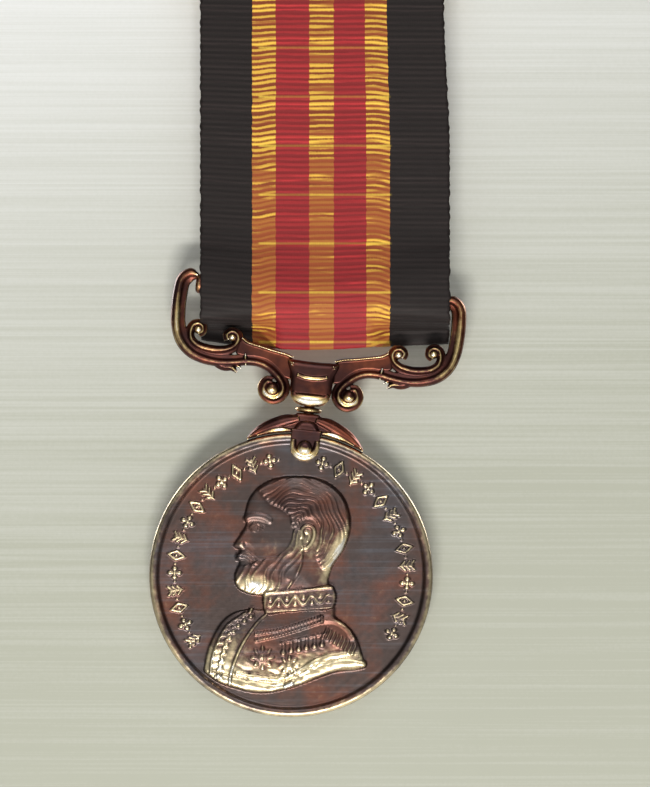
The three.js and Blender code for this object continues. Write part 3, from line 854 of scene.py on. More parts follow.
def make_claw():
    """Two shoulders that lie along the medal's rim, and a toe with a raised edge on each face."""
    seat = DISC_R + 0.12
    reach = 0.43  # how far round the rim each shoulder goes, in radians
    back = np.linspace(math.pi / 2 - reach, math.pi / 2, 40)[1:]
    arc = np.stack([seat * np.cos(back), seat * np.sin(back) + DROP], 1)
    corner = [7.5, seat * math.sin(math.pi / 2 - reach) + DROP]
    side = np.vstack([smooth_line(CLAW_TOP, 70)[:-1], corner, arc[:-1]])
    outline = np.vstack([side, (side[::-1] * [-1, 1])[1:-1]])
    shells = [plate(outline, 3.3, 0.45, rounds=4), lathe(NECK, axis="z")]
    leaf_width = 1.25 * np.sin(math.pi * (0.18 + 0.78 * np.linspace(0, 1, 50))) ** 0.7
    foot_width = 0.62 * np.sin(math.pi * (0.15 + 0.8 * np.linspace(0, 1, 40))) ** 0.7
    angle = np.linspace(math.pi, 2 * math.pi, 40)
    bowl = np.stack([1.88 * np.cos(angle), 1.88 * np.sin(angle) + TOE_Z], 1)
    toe = np.vstack([[(1.88, -17.0), (-1.88, -17.0)], bowl])
    rim = np.stack([1.5 * np.cos(angle), 1.5 * np.sin(angle) + TOE_Z - 0.06], 1)
    rim = smooth_line(np.vstack([[(-1.5, -18.3)], rim, [(1.5, -18.3)]]), 70)
    fat = 0.55 + 0.5 * np.sin(np.linspace(0, math.pi, 70)) ** 0.7
    for face in (-1, 1):
        for flip in (-1, 1):
            leaf, foot = sided(CLAW_LEAF, flip, 50), sided(CLAW_FOOT, flip, 40)
            shells.append(sweep(leaf, ROD, leaf_width, 0.9, y=face * 1.5))
            shells.append(sweep(foot, ROD, foot_width, 0.8, y=face * 1.62))
        shells.append(plate(toe, 0.72, 0.2, y=face * 1.93))
        shells.append(sweep(rim, ROD, fat, fat * 0.9, y=face * 2.25))
    root = smooth_line(CLAW_ROOT, 40)
    shells.append(plate(np.vstack([root, (root * [-1, 1])[::-1][:-1]]), 4.2, 0.75, rounds=5))
    # painted highlights: brighter metal on the toe's lower edge and sides, and on the shoulders'
    # lower strokes
    painted_highlights = [
        (0, -20.35, 1.9, 0.75, 0, 0.65), (-1.75, -19.2, 0.35, 0.9, 0, 0.35),
        (1.75, -19.2, 0.35, 0.9, 0, 0.35), (-3.5, -17.3, 1.1, 0.35, 12, 0.45),
        (3.6, -17.4, 1.3, 0.35, -16, 0.45),
    ]
    silver("claw", shells, "medal", FINE, relax=4, gain=0.045, painted_highlights=painted_highlights)


def make_rivet():
    """The rivet through the claw's toes, with a domed head on each face."""
    rivet = lathe([(r, -y) for r, y in RIVET_END] + RIVET_END[::-1], at=(0, RIVET_Z))
    # painted highlight: brighter metal on the lower side of the rivet's dome
    silver("claw_rivet", [rivet], "medal", 0.06, painted_highlights=[(0, -19.7, 0.9, 0.4, 0, 0.6)])


# ---- the struck disc ----

FIELD_R = 16.55
FIELD_Y = 1.0


def struck(points):
    """Points about the disc's middle, in the row frame. The design stands nearly upright in it."""
    return DISC_AT + np.asarray(points, float)


def rod(a, b, line, width, tall, taper=None, count=None):
    """The height of a half-round rod of that half width lying along a line, which is smoothed
    first where a count is given."""
    line = smooth_line(line, count) if count else np.asarray(line, float)
    reach = width + 0.05
    (a_low, b_low), (a_high, b_high) = line.min(0) - reach, line.max(0) + reach
    near = (a > a_low) & (a < a_high) & (b > b_low) & (b < b_high)
    height = np.zeros(a.shape)
    distance, t = to_line(a[near], b[near], line)
    share = np.ones(t.shape) if taper is None else taper(t)
    w = width * np.maximum(share, 0.02)
    round_top = np.sqrt(np.clip(1 - (distance / w) ** 2, 0, 1))
    height[near] = tall * round_top * np.clip(share, 0, 1) ** 0.5
    return height


def disk(a, b, at, radius, tall):
    away = ((a - at[0]) ** 2 + (b - at[1]) ** 2) / radius**2
    return tall * np.sqrt(np.clip(1 - away, 0, 1))


def stamp(height, a, b, at, turn, reach, draw):
    """Raises a small motif, drawn in its own turned axes, out of the height so far."""
    near = np.nonzero((np.abs(a - at[0]) < reach) & (np.abs(b - at[1]) < reach))[0]
    if not len(near):
        return
    c, s = math.cos(turn), math.sin(turn)
    x, y = a[near] - at[0], b[near] - at[1]
    height[near] = np.maximum(height[near], draw(x * c + y * s, y * c - x * s))


def dot(radius, tall):
    """A round pellet, as a motif."""
    return lambda x, y: disk(x, y, (0, 0), radius, tall)


def twig(line):
    """A short rod that stands on the coat, as a motif."""

    def draw(x, y):
        h = rod(x, y, line, 0.2, 0.17)
        return (0.46 + h) * (h > 0)

    return draw


def quatrefoil(x, y):
    h = disk(x, y, (0, 0), 0.30, 0.30)
    for u, v in ((0.52, 0), (-0.52, 0), (0, 0.58), (0, -0.58)):
        h = np.maximum(h, disk(x, y, (u, v), 0.36, 0.24))
    return h


def lozenge(x, y):
    ring = [(0, 1.02), (0.56, 0), (0, -1.02), (-0.56, 0), (0, 1.02)]
    return np.maximum(rod(x, y, ring, 0.17, 0.24), disk(x, y, (0, 0), 0.24, 0.24))


def sprig(x, y):
    h = rod(x, y, [(0, -1.0), (0, 0.8)], 0.12, 0.2)
    for v in (-0.55, 0.05, 0.6):
        for s in (-1, 1):
            leaf = [(0, v - 0.2), (s * 0.32, v + 0.1), (s * 0.55, v + 0.32)]
            h = np.maximum(h, rod(x, y, leaf, 0.17, 0.22))
    return h


HEAD = [
    (0.6, 12.6), (-1.9, 12.35), (-4.0, 11.3), (-5.25, 9.8), (-5.75, 8.3), (-5.95, 7.3),
    (-5.72, 6.45), (-6.3, 5.4), (-7.1, 4.25), (-7.3, 3.8), (-6.95, 3.4), (-6.45, 3.15),
    (-6.75, 2.65), (-6.95, 2.2), (-6.55, 1.75), (-6.75, 1.1), (-7.1, 0.2), (-7.15, -0.8),
    (-6.5, -1.8), (-5.2, -2.4), (-3.6, -2.6), (-2.6, -3.2), (4.8, -3.2), (4.75, -0.6),
    (5.3, 1.2), (6.6, 3.2), (7.4, 5.3), (7.5, 7.6), (6.7, 9.9), (5.0, 11.6), (2.8, 12.45),
]
HAIR = [
    (-4.7, 11.4), (-3.7, 10.0), (-2.6, 9.0), (-1.3, 8.4), (-0.3, 7.5), (0.0, 6.1), (0.9, 6.0),
    (1.4, 6.9), (2.5, 7.1), (3.4, 6.2), (3.4, 4.4), (3.0, 3.0), (3.5, 1.4), (4.3, 0.6),
    (6.5, 1.5), (9.0, 5.0), (8.0, 12.5), (1.0, 14.5), (-5.0, 13.0),
]
BEARD = [
    (1.25, 5.9), (0.25, 5.9), (-0.1, 4.4), (-1.0, 3.2), (-2.6, 2.45), (-4.4, 2.0), (-5.5, 1.55),
    (-6.4, 1.45), (-8.0, 1.2), (-8.4, -3.3), (-1.8, -3.2), (0.2, -1.3), (1.5, 1.0), (1.7, 3.4),
]
COLLAR = [
    (-3.35, -2.1), (-1.0, -1.85), (2.0, -1.6), (5.25, -1.35), (5.35, -4.05), (2.0, -4.4),
    (-1.0, -4.65), (-3.2, -4.75),
]
COAT = [
    (-3.0, -4.3), (-5.2, -4.25), (-7.0, -4.6), (-8.5, -5.6), (-9.5, -7.0), (-10.4, -9.0),
    (-10.9, -11.0), (-11.0, -12.6), (-9.6, -13.4), (-7.0, -14.3), (-4.1, -14.9), (0.2, -14.1),
    (5.0, -12.45), (9.3, -11.75), (9.1, -10.3), (8.4, -8.2), (7.2, -6.5), (5.6, -5.2),
    (5.2, -3.9), (1.0, -4.3),
]
# Each swelling or hollow of the face and ear is (amount, place, radii, turn).
FACE_FORMS = [
    (0.10, (-2.4, 4.6), (1.8, 1.3), -20), (-0.15, (-4.2, 6.3), (1.25, 0.7), 0),
    (-0.06, (-1.7, 7.0), (1.4, 1.0), 0), (0.07, (-4.2, 9.0), (1.3, 1.5), 0),
    (0.14, (-6.25, 4.7), (0.55, 1.3), -25), (-0.12, (-6.62, 3.32), (0.25, 0.16), 0),
    (-0.10, (2.2, 4.9), (0.55, 0.9), 0),
]
# Each raised line of the brow, the eyelids and the ear is (points, smoothed count, width, height).
FACE_LINES = [
    ([(-5.75, 7.2), (-4.9, 7.55), (-3.6, 7.4), (-2.7, 6.95)], 24, 0.42, 0.13),
    ([(-5.2, 6.1), (-4.8, 6.5), (-4.1, 6.55), (-3.4, 6.15)], 20, 0.13, 0.12),
    ([(-5.1, 5.9), (-4.5, 5.55), (-3.6, 5.75)], 16, 0.12, 0.07),
    ([(1.45, 4.9), (1.4, 5.8), (1.95, 6.35), (2.75, 6.1), (2.95, 5.2), (2.6, 4.2), (2.05, 3.5),
      (1.6, 3.45)], 40, 0.27, 0.2),
    ([(1.9, 5.6), (2.3, 5.1), (2.1, 4.4)], 14, 0.16, 0.1),
]
MOUSTACHE = [
    [(-6.75, 2.75), (-5.6, 2.95), (-4.0, 1.9)],
    [(-6.9, 2.4), (-5.7, 2.6), (-4.3, 1.45)],
    [(-6.8, 2.05), (-5.8, 2.2), (-4.7, 1.15)],
]
CHEEK_FOLD = [(-5.75, 3.9), (-5.0, 3.1), (-4.6, 2.4)]
NECK_CORD = [(2.7, 2.3), (1.4, 0.4), (0.2, -2.0)]


def head_relief(a, b):
    """A calm, bearded head in profile, of ordinary classical proportions."""
    d = inside(a, b, smooth_line(HEAD, 170, closed=True))
    face = d > 0
    h = np.where(face, 0.16 * dome(d, 0.35) + 0.58 * dome(d, 5.2), 0.0)
    for amount, at, radii, turn in FACE_FORMS:
        h += face * amount * bump(a, b, at, radii, turn)
    for points, count, width, tall in FACE_LINES:
        h += rod(a, b, points, width, tall, count=count)
    h += disk(a, b, (-4.62, 6.05), 0.5, 0.12) + disk(a, b, (-6.25, 3.78), 0.48, 0.12)
    h += face * rod(a, b, CHEEK_FOLD, 0.35, -0.07, count=16)
    h += face * rod(a, b, NECK_CORD, 0.8, 0.08, count=16)
    # hair, combed along the skull
    in_hair = np.minimum(inside(a, b, smooth_line(HAIR, 120, closed=True)), d)
    r = np.hypot(a - 0.7, (b - 6.0) * 1.05)
    angle = np.arctan2(b - 6.0, a - 0.7)
    strand = r * 1.75 + 0.45 * np.sin(angle * 3.0 + 0.5) + 0.3 * np.sin(angle * 7.0 + r)
    strand += 0.25 * ripple(a, b, 3, 3.0)
    locks = 1 - np.abs(np.sin(math.pi * strand)) ** 0.8
    fine = np.sin(math.pi * strand * 3.1 + angle * 4)
    h += step(in_hair, 0.0, 0.35) * (0.10 + 0.11 * locks + 0.02 * fine)
    # beard and moustache
    in_beard = np.minimum(inside(a, b, smooth_line(BEARD, 120, closed=True)), d + 0.25)
    flow = (a * 0.62 - b * 0.38) * 1.55 + 0.5 * np.sin(b * 1.1 + 0.6) + 0.3 * ripple(a, b, 5, 2.2)
    curls = 1 - np.abs(np.sin(math.pi * flow)) ** 0.7
    h += step(in_beard, 0.0, 0.4) * face * (0.13 + 0.13 * curls)
    for points in MOUSTACHE:
        h += rod(a, b, points, 0.27, 0.15, lambda t: 1 - 0.75 * t, count=18)
    return h


COAT_FRONT = [(-3.1, -4.9), (-4.6, -6.4), (-6.3, -9.0), (-7.5, -12.0), (-7.8, -14.0)]
COAT_OUTER = [(-6.3, -5.1), (-8.0, -6.3), (-9.2, -8.3), (-10.0, -10.6), (-10.2, -12.4)]
BUTTONS = [(-5.1, -5.2), (-6.9, -6.6), (-8.2, -8.9), (-9.2, -12.6)]
CHEST_BAR = [(4.4, -7.3), (1.6, -7.9), (-1.2, -8.5)]
EPAULETTE = [(3.9, -5.6), (5.6, -5.7), (7.2, -6.6), (8.0, -7.9)]
FOLDS = [
    ([(9.2, -11.2), (6.6, -11.2), (3.8, -12.0), (1.0, -13.3), (-0.6, -14.2)], 0.85, 0.34),
    ([(8.6, -9.9), (6.0, -10.1), (3.4, -10.9), (1.2, -12.2), (-0.6, -13.1)], 0.55, 0.26),
    ([(-10.8, -12.5), (-8.2, -13.3), (-5.2, -14.0), (-2.0, -14.3), (0.0, -13.8)], 0.75, 0.32),
    ([(-6.9, -12.4), (-4.6, -12.9), (-2.2, -13.1), (0.2, -12.6)], 0.45, 0.22),
]


def collar_relief(a, b, edge):
    """The collar, with a running scroll between two pipings."""
    middle = lambda u: -3.15 + 0.07 * (u - 1.0)
    turns = 2 * math.pi / 2.1
    lifted = 0.62 + 0.2 * dome(edge, 0.3)
    u = np.linspace(-2.9, 4.9, 90)
    lifted += rod(a, b, np.stack([u, middle(u) + 0.5 * np.sin(u * turns)], 1), 0.17, 0.16)
    for k in range(8):
        u = -2.6 + 1.05 * k
        lifted += disk(a, b, (u, middle(u) - 0.35 * math.sin(u * turns)), 0.28, 0.16)
    for s in (-1.0, 1.0):
        pipe = [(-3.3, -3.42 + s * 1.16), (1.0, -3.1 + s * 1.25), (5.3, -2.75 + s * 1.25)]
        lifted += rod(a, b, pipe, 0.16, 0.14, count=30)
    return lifted


def coat_relief(a, b):
    """Dress uniform: embroidered collar, cords, small medals, stars, an epaulette and a mantle."""
    d = inside(a, b, smooth_line(COAT, 170, closed=True))
    on = d > 0
    h = np.where(on, 0.14 * dome(d, 0.3) + 0.30 * dome(d, 3.0), 0.0)
    h += on * 0.16 * bump(a, b, (-5.5, -8.5), (4.0, 3.5), 20)
    h += on * 0.22 * bump(a, b, (5.8, -7.2), (2.2, 1.9), -20)
    # the coat's front edge, with its buttons and embroidery
    h += on * rod(a, b, COAT_FRONT, 0.22, 0.2, count=60)
    h += on * rod(a, b, COAT_OUTER, 0.2, 0.18, count=60)
    for at in smooth_line(BUTTONS, 10):
        stamp(h, a, b, at, 0, 0.5, lambda x, y: 0.5 + disk(x, y, (0, 0), 0.34, 0.22))
        for s in (-1, 1):
            stamp(h, a, b, at, 0.6, 1.1, twig([(0.25 * s, 0.5), (0.75 * s, 0.85)]))
    edge = inside(a, b, smooth_line(COLLAR, 90, closed=True))
    h = np.where(edge > 0, np.maximum(h, collar_relief(a, b, edge)), h)
    # cords across the chest
    for drop, thick in ((0.0, 0.27), (0.62, 0.24)):
        cord = [(3.9, -5.2), (1.6, -6.0), (-1.4, -6.9), (-4.4, -7.4 - drop * 0.3)]
        distance, t = to_line(a, b, smooth_line([(u, v - drop) for u, v in cord], 70))
        twist = 0.8 + 0.2 * np.sin(t * 130 + distance * 9)
        h += on * 0.22 * np.sqrt(np.clip(1 - (distance / thick) ** 2, 0, 1)) * twist
    # a row of small medals on ribbons, under a bar
    h += on * rod(a, b, CHEST_BAR, 0.2, 0.16, count=20)
    for k in range(6):
        u, v = 4.0 - 0.98 * k, -7.45 - 0.2 * k
        h += on * rod(a, b, [(u, v - 0.2), (u - 0.05, v - 1.0)], 0.26, 0.1)
        h += on * disk(a, b, (u - 0.08, v - 1.35), 0.4, 0.2)
    # two stars of orders
    for u, v, size in ((-3.6, -10.4, 1.55), (-0.2, -11.4, 1.35)):
        angle, r = np.arctan2(b - v, a - u), np.hypot(a - u, b - v)
        star = size * (0.62 + 0.38 * np.abs(np.cos(4 * angle)) ** 1.5)
        rays = dome(star - r, 0.5) * (r < star) * (0.8 + 0.2 * np.cos(16 * angle))
        h += on * (0.2 * rays + disk(a, b, (u, v), size * 0.36, 0.14))
    # the epaulette and its fringe
    h += on * rod(a, b, EPAULETTE, 0.55, 0.14, count=40)
    h += on * rod(a, b, EPAULETTE, 0.16, 0.1, count=40)
    for k in range(9):
        u, v = 4.6 + 0.45 * k, -6.6 - 0.28 * k
        h += on * rod(a, b, [(u, v - 0.1), (u - 0.5, v - 1.15)], 0.17, 0.16)
    # the mantle's folds along the cut-off
    half = lambda t: 0.55 + 0.45 * np.sin(math.pi * t)
    for line, width, tall in FOLDS:
        h += (d > -0.1) * rod(a, b, line, width, tall, half, count=40)
    creases = 0.07 * ripple(a, b * 1.8, 31, 2.4) + 0.035 * ripple(a * 0.8, b * 1.6, 32, 0.9)
    return h + on * bump(a, b, (-2.5, -12.4), (8.5, 2.6), 8) * creases


BORDER_R, BORDER_COUNT = 14.75, 29
BORDER_START, BORDER_SPAN = -123.5, 243.5  # degrees clockwise from the top


def round_to(radius, angle):
    """A place at an angle clockwise from the top."""
    return radius * math.sin(angle), radius * math.cos(angle)


def obverse(a, b):
    """The height of the struck design over the obverse field."""
    h = np.zeros(a.shape)
    gap = BORDER_SPAN / (BORDER_COUNT - 1)
    for k in range(BORDER_COUNT):
        degrees = BORDER_START + gap * k
        if abs(degrees - 3) < 6:  # the claw's toe lies here
            continue
        draw = (sprig, quatrefoil, lozenge)[k % 3]
        at = math.radians(degrees)
        stamp(h, a, b, round_to(BORDER_R, at), -at, 1.5, draw)
        if k < BORDER_COUNT - 1:
            between = round_to(BORDER_R, at + math.radians(gap / 2))
            stamp(h, a, b, between, 0, 0.4, dot(0.19, 0.16))
    h = np.maximum(h, np.maximum(head_relief(a, b), coat_relief(a, b)))
    return h + 0.012 * ripple(a, b, 8, 6.0) + 0.004 * ripple(a, b, 9, 1.2)


def laurel_leaf(x, y, long=2.7, wide=0.52):
    t = np.clip(x / long, 0, 1)
    half = wide * np.sin(math.pi * t**0.8) * (x > 0) * (x < long)
    vein = 0.35 * np.exp(-((y / 0.09) ** 2))
    swell = np.sqrt(np.clip(1 - (y / np.maximum(half, 1e-3)) ** 2, 0, 1))
    return np.where(half > np.abs(y), 0.34 * swell * (1 - vein), 0)


WREATH_R = 11.9
BOW_LOOP = [(0, -12.0), (1.5, -11.0), (2.7, -11.6), (1.9, -12.7), (0, -12.1)]
BOW_TAIL = [(0.2, -12.2), (1.0, -13.5), (2.3, -13.9), (3.1, -14.7)]


def reverse(a, b):
    """A laurel wreath tied with a bow, round a plain field, inside a ring of beads."""
    h = np.zeros(a.shape)
    for side in (-1, 1):
        stem = [round_to(WREATH_R, -side * t) for t in np.radians(np.linspace(188, 338, 60))]
        h = np.maximum(h, rod(a, b, stem, 0.22, 0.2))
        for k, angle in enumerate(np.radians(np.arange(196, 336, 8.5))):
            heading = math.atan2(math.sin(angle), -side * math.cos(angle))
            for lean in (0.62, -0.62, 0.0):
                place = round_to(WREATH_R, -side * angle)
                stamp(h, a, b, place, heading + lean, 3.2, laurel_leaf)
            if k % 2:
                berry = round_to(WREATH_R + (1.4 if k % 4 == 1 else -1.4), -side * angle)
                stamp(h, a, b, berry, 0, 0.7, dot(0.46, 0.3))
        h = np.maximum(h, rod(a, b, sided(BOW_LOOP, side, 40), 0.34, 0.32))
        h = np.maximum(h, rod(a, b, sided(BOW_TAIL, side, 30), 0.36, 0.28))
    h = np.maximum(h, disk(a, b, (0, -12.05), 0.62, 0.4))
    for k in range(132):
        stamp(h, a, b, round_to(15.75, 2 * math.pi * k / 132), 0, 0.5, dot(0.29, 0.24))
    return h + 0.012 * ripple(a, b, 18, 6.0) + 0.004 * ripple(a, b, 19, 1.2)


def round_grid(count):
    """A square grid drawn out into a disc, with the order of its rim points."""
    t = np.linspace(-1, 1, count + 1)
    x, y = np.meshgrid(t, t, indexing="ij")
    wide = np.abs(x) >= np.abs(y)
    r = np.where(wide, x, y)
    big = np.where(r == 0, 1, r)
    turn = np.where(wide, math.pi / 4 * y / big, math.pi / 2 - math.pi / 4 * x / big)
    a, b = (FIELD_R * (r * part(turn)).ravel() for part in (np.cos, np.sin))
    i, n = np.arange(count), count + 1
    ring = np.concatenate([i * n, count * n + i, (count - i) * n + count, count - i])
    return a, b, ring, step(FIELD_R - np.hypot(a, b), 0.0, 0.35)


# The rim's section from the field's edge out, as (radius, distance from the middle plane, wear).
RIM = [
    (16.72, 1.04, 0.0), (16.88, 1.22, 0.0), (17.02, 1.40, 0.0), (17.20, 1.48, 0.02),
    (17.45, 1.49, 0.08), (17.70, 1.43, 0.22), (17.88, 1.28, 0.24), (17.97, 1.05, 0.12),
    (18.0, 0.75, 0.04),
]
RIM_MIDDLE = 18.02
RIM_NOMINAL = 18.0
# Patches that raise or lower the obverse's wear value, as (place, radii, turn, amount): partly
# wear, and painted highlights on the lower beard, the nape, the ear, the collar, the coat's front
# and the drape, where the lamp below shines, with painted shade on the crown of the hair and
# the coat's middle.
WEAR_HIGHLIGHT_AND_SHADE = [
    ((-4.4, -1.3), (2.4, 1.05), -8, 0.46), ((5.9, 2.7), (3.7, 1.0), 62, 0.42),
    ((2.0, 4.8), (1.7, 1.7), 0, 0.16), ((0.5, 4.4), (4.8, 2.2), 0, 0.12),
    ((0.2, 9.0), (4.6, 2.6), -12, -0.24), ((1.0, -3.1), (4.2, 1.3), 3, 0.14),
    ((-8.6, -11.6), (3.4, 2.6), 30, 0.14), ((-4.0, -12.9), (4.8, 2.2), 0, 0.16),
    ((1.5, -12.2), (3.6, 2.0), 25, 0.24), ((6.6, -10.8), (3.6, 1.3), 12, 0.28),
    ((-7.6, -8.4), (1.9, 4.6), -32, 0.14), ((0.6, -6.6), (4.6, 1.6), 12, -0.08),
]
DISC_GRID = 248


def make_disc():
    """The disc as a fine height field on its front, a coarser one on its back, and the rim."""
    a, b, ring, keep = round_grid(DISC_GRID)
    raised = obverse(a, b) * keep
    front = np.stack([a, -(FIELD_Y + raised), b], 1)
    around = np.arctan2(b[ring], a[ring])
    wobble = 0.02 * np.sin(around * 9 + 1) + 0.015 * np.sin(around * 23)
    wobble += 0.012 * np.sin(around * 51)
    half = [(r, y) for r, y, _ in RIM]
    profile = [(r, -y) for r, y in half] + [(RIM_MIDDLE, 0.0)] + half[::-1]
    rows = []
    for r, y in profile:
        radius = r / RIM_NOMINAL * DISC_R
        out = np.sign(y) * (abs(y) + wobble * (abs(y) > 1.2))
        rows.append(np.stack([radius * np.cos(around), out, radius * np.sin(around)], 1))
    small = DISC_GRID // 2
    a2, b2, ring2, keep2 = round_grid(small)
    sunk = reverse(-a2, b2) * keep2
    back = np.stack([a2, FIELD_Y + sunk, b2], 1)
    points = np.vstack([front, *rows, back])
    start, turns = len(front), len(ring)
    back_start = start + len(rows) * turns
    first = start + np.arange(turns)
    seam = np.stack([ring, np.roll(ring, -1), np.roll(first, -1), first], 1)
    wall = grid_faces(len(rows), turns, wrap_cols=True, start=start)
    # the back has half as many points round it, so three triangles join each pair of steps
    last = back_start - turns + np.arange(turns)
    even, odd, inner = last[0::2], last[1::2], back_start + ring2
    after, inner_after = np.roll(even, -1), np.roll(inner, -1)
    joins = [(even, odd, inner), (odd, after, inner_after), (odd, inner_after, inner)]
    face = grid_faces(DISC_GRID + 1, DISC_GRID + 1)
    rear = grid_faces(small + 1, small + 1, start=back_start)[:, ::-1]
    faces = [face, seam, wall, *(np.stack(corners, 1) for corners in joins), rear]
    mesh = raw_mesh("medal_disc_visual", points, faces)
    lift = np.zeros(len(points))
    # painted highlights and painted shade from the patches above, on the raised design only
    tone_shift = sum(amount * bump(a, b, at, radii, turn) for at, radii, turn, amount in WEAR_HIGHLIGHT_AND_SHADE)
    border = 0.15 * step(np.hypot(a, b), 13.4, 13.7) * step(raised, 0.08, 0.16)
    lift[:start] = tone_shift * (raised > 0.05) + border
    lift[back_start:] = 0.20 * step(sunk, 0.1, 0.35)
    crest = np.array([wear_and_light for _, _, wear_and_light in RIM])
    crest = np.concatenate([crest, [0.0], crest[::-1] * 0.6])
    lift[start:back_start] = np.repeat(crest, turns)
    work = bmesh.new()
    work.from_mesh(mesh)
    bmesh.ops.recalc_face_normals(work, faces=work.faces)
    work.to_mesh(mesh)
    work.free()
    mark_wear_and_light(mesh, 0.075, lift)
    nodes = ("medal_disc",)
    finished("medal_disc_visual", mesh, SILVER_DISC, "medal", nodes, struck)


# ---- brooch ----


def softened(node, material, voxel):
    """A CAD piece's own shape with its edges rounded, standing in for it."""
    source = frame["nodes"][node].data
    points, _ = read_mesh(source)
    faces = [[list(p.vertices) for p in source.polygons if len(p.vertices) == k] for k in (3, 4)]
    shell = (points / MM, [np.array(f) for f in faces if f])
    cast(node, [shell], material, "brooch", voxel, 4, 0.12, upright)


NEEDLE_LEAD = [(-0.25, 0.64), (-1.4, 0.30), (-4.0, 0.10), (-16.0, 0.05)]


def make_needle():
    """A drawn wire, coiled once round the rivet, with a long ground point."""
    pivot = np.array(joints["needle_hinge"]["pos_m"]) / MM
    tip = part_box("brooch_needle")[0][0] / MM - pivot[0]
    angle = np.linspace(-1.5 * math.pi, math.pi / 2, 40)[:-6]
    coil = np.stack([0.68 * np.cos(angle), 0.68 * np.sin(angle)], 1)
    line = np.vstack([coil, smooth_line([*NEEDLE_LEAD, (tip, 0.0)], 120)])
    width = 0.72 - 0.62 * step(np.linspace(0, 1, 240), 0.90, 1.0)
    points, faces = sweep(smooth_line(line[::3], 240), ROD, width, width)
    points = points[:, [0, 2, 1]] + pivot
    cast(
        "brooch_needle", [(points, faces)], STEEL, "needle", 0.075, 2, 0.1, upright
    )


# ---- building ----

make_bar()
softened("brooch_plate", GILDING, 0.12)
softened("hinge_bracket", STEEL, 0.07)
softened("hinge_rivet", STEEL, 0.06)
softened("catch_hook", STEEL, 0.07)
make_needle()
make_scroll("left_scroll", -1)
make_scroll("right_scroll", 1)
make_strap("left_strap", -1)
make_strap("right_strap", 1)
make_boss()
silver("swivel_pin", [lathe(PIN, axis="z")], "medal", 0.06)
silver("swivel_collar", [lathe(COLLAR_RING, axis="z")], "medal", 0.06)
make_claw()
make_rivet()
make_disc()
make_ribbon()

# ---- stage, camera and lights ----

LOOK_AT = np.array([0.0, HANG_Y, -53.98])
FRAME_TALL = 99.95
LENS, SENSOR = 200.0, 36.0


def stage_sheet(name, points, material):
    """A flat four-cornered sheet that isn't part of the object."""
    mesh = bpy.data.meshes.new(name)
    mesh.from_pydata([tuple(MM * c for c in p) for p in points], [], [(0, 1, 2, 3)])
    obj = bpy.data.objects.new(name, mesh)
    bpy.context.scene.collection.objects.link(obj)
    mesh.materials.append(material)
    return obj


def board_paint():
    """A pale grey-green backdrop with faint level streaks, seen only from its front. Painted light
    makes it brightest at its top left and darker towards its bottom."""
    p = Paint("pale_board")
    fine = p.noise(1.0, 3.0, 0.7, (14, 14, 2300))
    broad = p.noise(1.0, 3.0, 0.5, (9, 9, 60))
    grain = p.noise(2500.0, 2.0, 0.6)
    streaks = fine.ramp(0.3, 0.7) * 0.45 + broad * 0.25 + grain * 0.3
    across, _, up = p.split(p.node("TexCoord").outputs["Object"])
    # painted light: lighter higher up and to the left, darker lower down
    painted_light_slope = (up * 6.0 - across * 1.25 + 0.58).math("MAXIMUM", 0.0)
    share = (streaks - 0.5) * 0.34 + painted_light_slope * painted_light_slope * 1.98
    p.set(Base_Color=p.mix(share, (0.395, 0.408, 0.352), (0.82, 0.84, 0.865)))
    p.set(Roughness=0.9, Specular_IOR_Level=0.1)
    pick = p.node("MixShader", p.node("NewGeometry").outputs["Backfacing"])
    p.tree.links.new(p.shader.outputs[0], pick.inputs[1])
    p.tree.links.new(p.node("BsdfTransparent").outputs[0], pick.inputs[2])
    p.tree.links.new(pick.outputs[0], p.tree.nodes["Material Output"].inputs[0])
    return p.material


def floor_paint():
    p = Paint("pale_floor")
    cloud = p.noise(14.0, 3.0, 0.5)
    p.set(Base_Color=p.mix(cloud, (0.78, 0.78, 0.74), (0.85, 0.85, 0.81)), Roughness=0.85)
    p.set(Emission_Color=(0.8, 0.8, 0.76), Emission_Strength=0.22)
    return p.material


BOARD_HALF, BOARD_LOW, BOARD_HIGH, FLOOR_HALF = 330.0, -560.0, 260.0, 2500.0
# The board leans, from just behind the needle to just behind the disc's lower edge.
BOARD_Y, BOARD_LEAN = 3.95, 0.042
CORNERS = ((-1, 0), (1, 0), (1, 1), (-1, 1))
heights = (BOARD_LOW, BOARD_HIGH)
corners = [(u * BOARD_HALF, BOARD_Y + BOARD_LEAN * (heights[v] - 1.0), heights[v])
           for u, v in CORNERS]
board = stage_sheet("board", corners, board_paint())
board.visible_shadow = False
board.visible_diffuse = False
board.visible_glossy = False
corners = [(u * FLOOR_HALF, (2 * v - 1) * FLOOR_HALF, BOARD_LOW) for u, v in CORNERS]
stage_sheet("floor", corners, floor_paint())

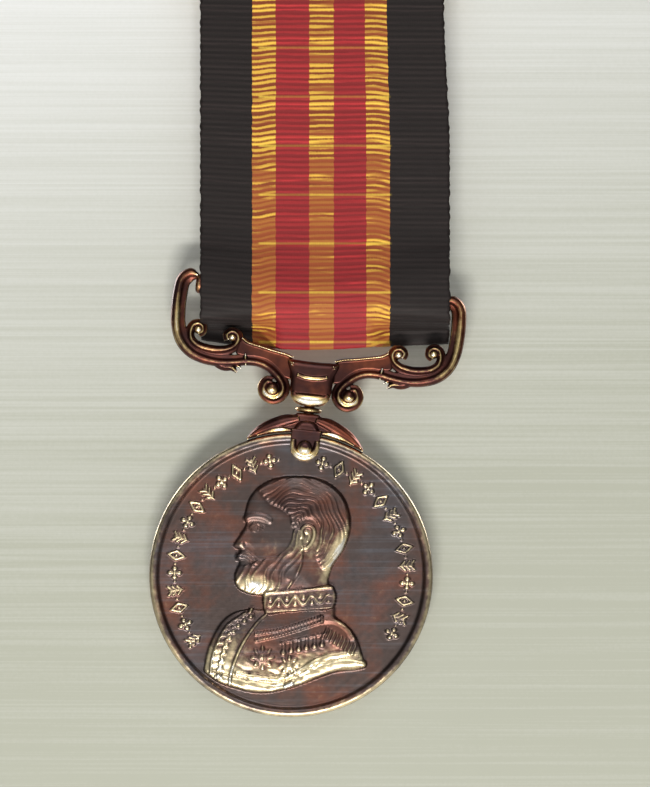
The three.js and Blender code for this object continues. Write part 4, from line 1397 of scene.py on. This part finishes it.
camera_data = bpy.data.cameras.new("camera")
camera_data.lens = LENS
camera_data.sensor_width = SENSOR
camera_data.clip_start = 0.01
camera = bpy.data.objects.new("camera", camera_data)
bpy.context.scene.collection.objects.link(camera)
distance = LENS * FRAME_TALL / SENSOR
camera.location = Vector((LOOK_AT + np.array([0, -distance, 0])) * MM)
camera.rotation_euler = (math.pi / 2, 0, 0)
bpy.context.scene.camera = camera


def lamp(name, at, size, power, colour=(1, 1, 1), tall=None):
    """A soft rectangular lamp that faces the medal and isn't seen itself."""
    data = bpy.data.lights.new(name, "AREA")
    data.energy = power
    data.color = colour
    data.shape = "RECTANGLE"
    data.size = size * MM
    data.size_y = (tall or size) * MM
    obj = bpy.data.objects.new(name, data)
    bpy.context.scene.collection.objects.link(obj)
    at = np.array(at, float)
    obj.location = Vector(at * MM)
    obj.rotation_mode = "QUATERNION"
    obj.rotation_quaternion = Vector(LOOK_AT - at).to_track_quat("-Z", "Y")
    obj.visible_camera = False
    return data


lamp("key_below", (-30, -420, -360), 260, 2.4, (1.0, 0.96, 0.89), tall=70)
fill = lamp("fill_above", (60, -700, 420), 500, 2.0, (1.0, 0.97, 0.95))
fill.use_shadow = False  # the brooch would shade the picture's top corners
lamp("back_left", (-500, 500, 200), 400, 3.6)
lamp("back_right", (500, 450, 250), 400, 3.6)

world = bpy.data.worlds.new("world")
bpy.context.scene.world = world
world.use_nodes = True
sky = world.node_tree.nodes["Background"]
sky.inputs["Color"].default_value = (0.80, 0.82, 0.80, 1)
# Light comes mostly from the front and the back, so that rounded metal darkens at its sides. The
# camera sees an even pale backdrop.
air = Nodes(world.node_tree)
_, out, _ = air.split(air.node("TexCoord").outputs["Generated"])
seen = Value(air.tree, air.node("LightPath").outputs["Is Camera Ray"])
lit = out.absolute().ramp(0.25, 0.9) * 0.5 + 0.10
feed(air.tree, sky.inputs["Strength"], seen * 0.75 + seen.flipped() * lit)
bpy.context.scene.view_settings.view_transform = "Standard"
bpy.context.scene.view_settings.look = "None"
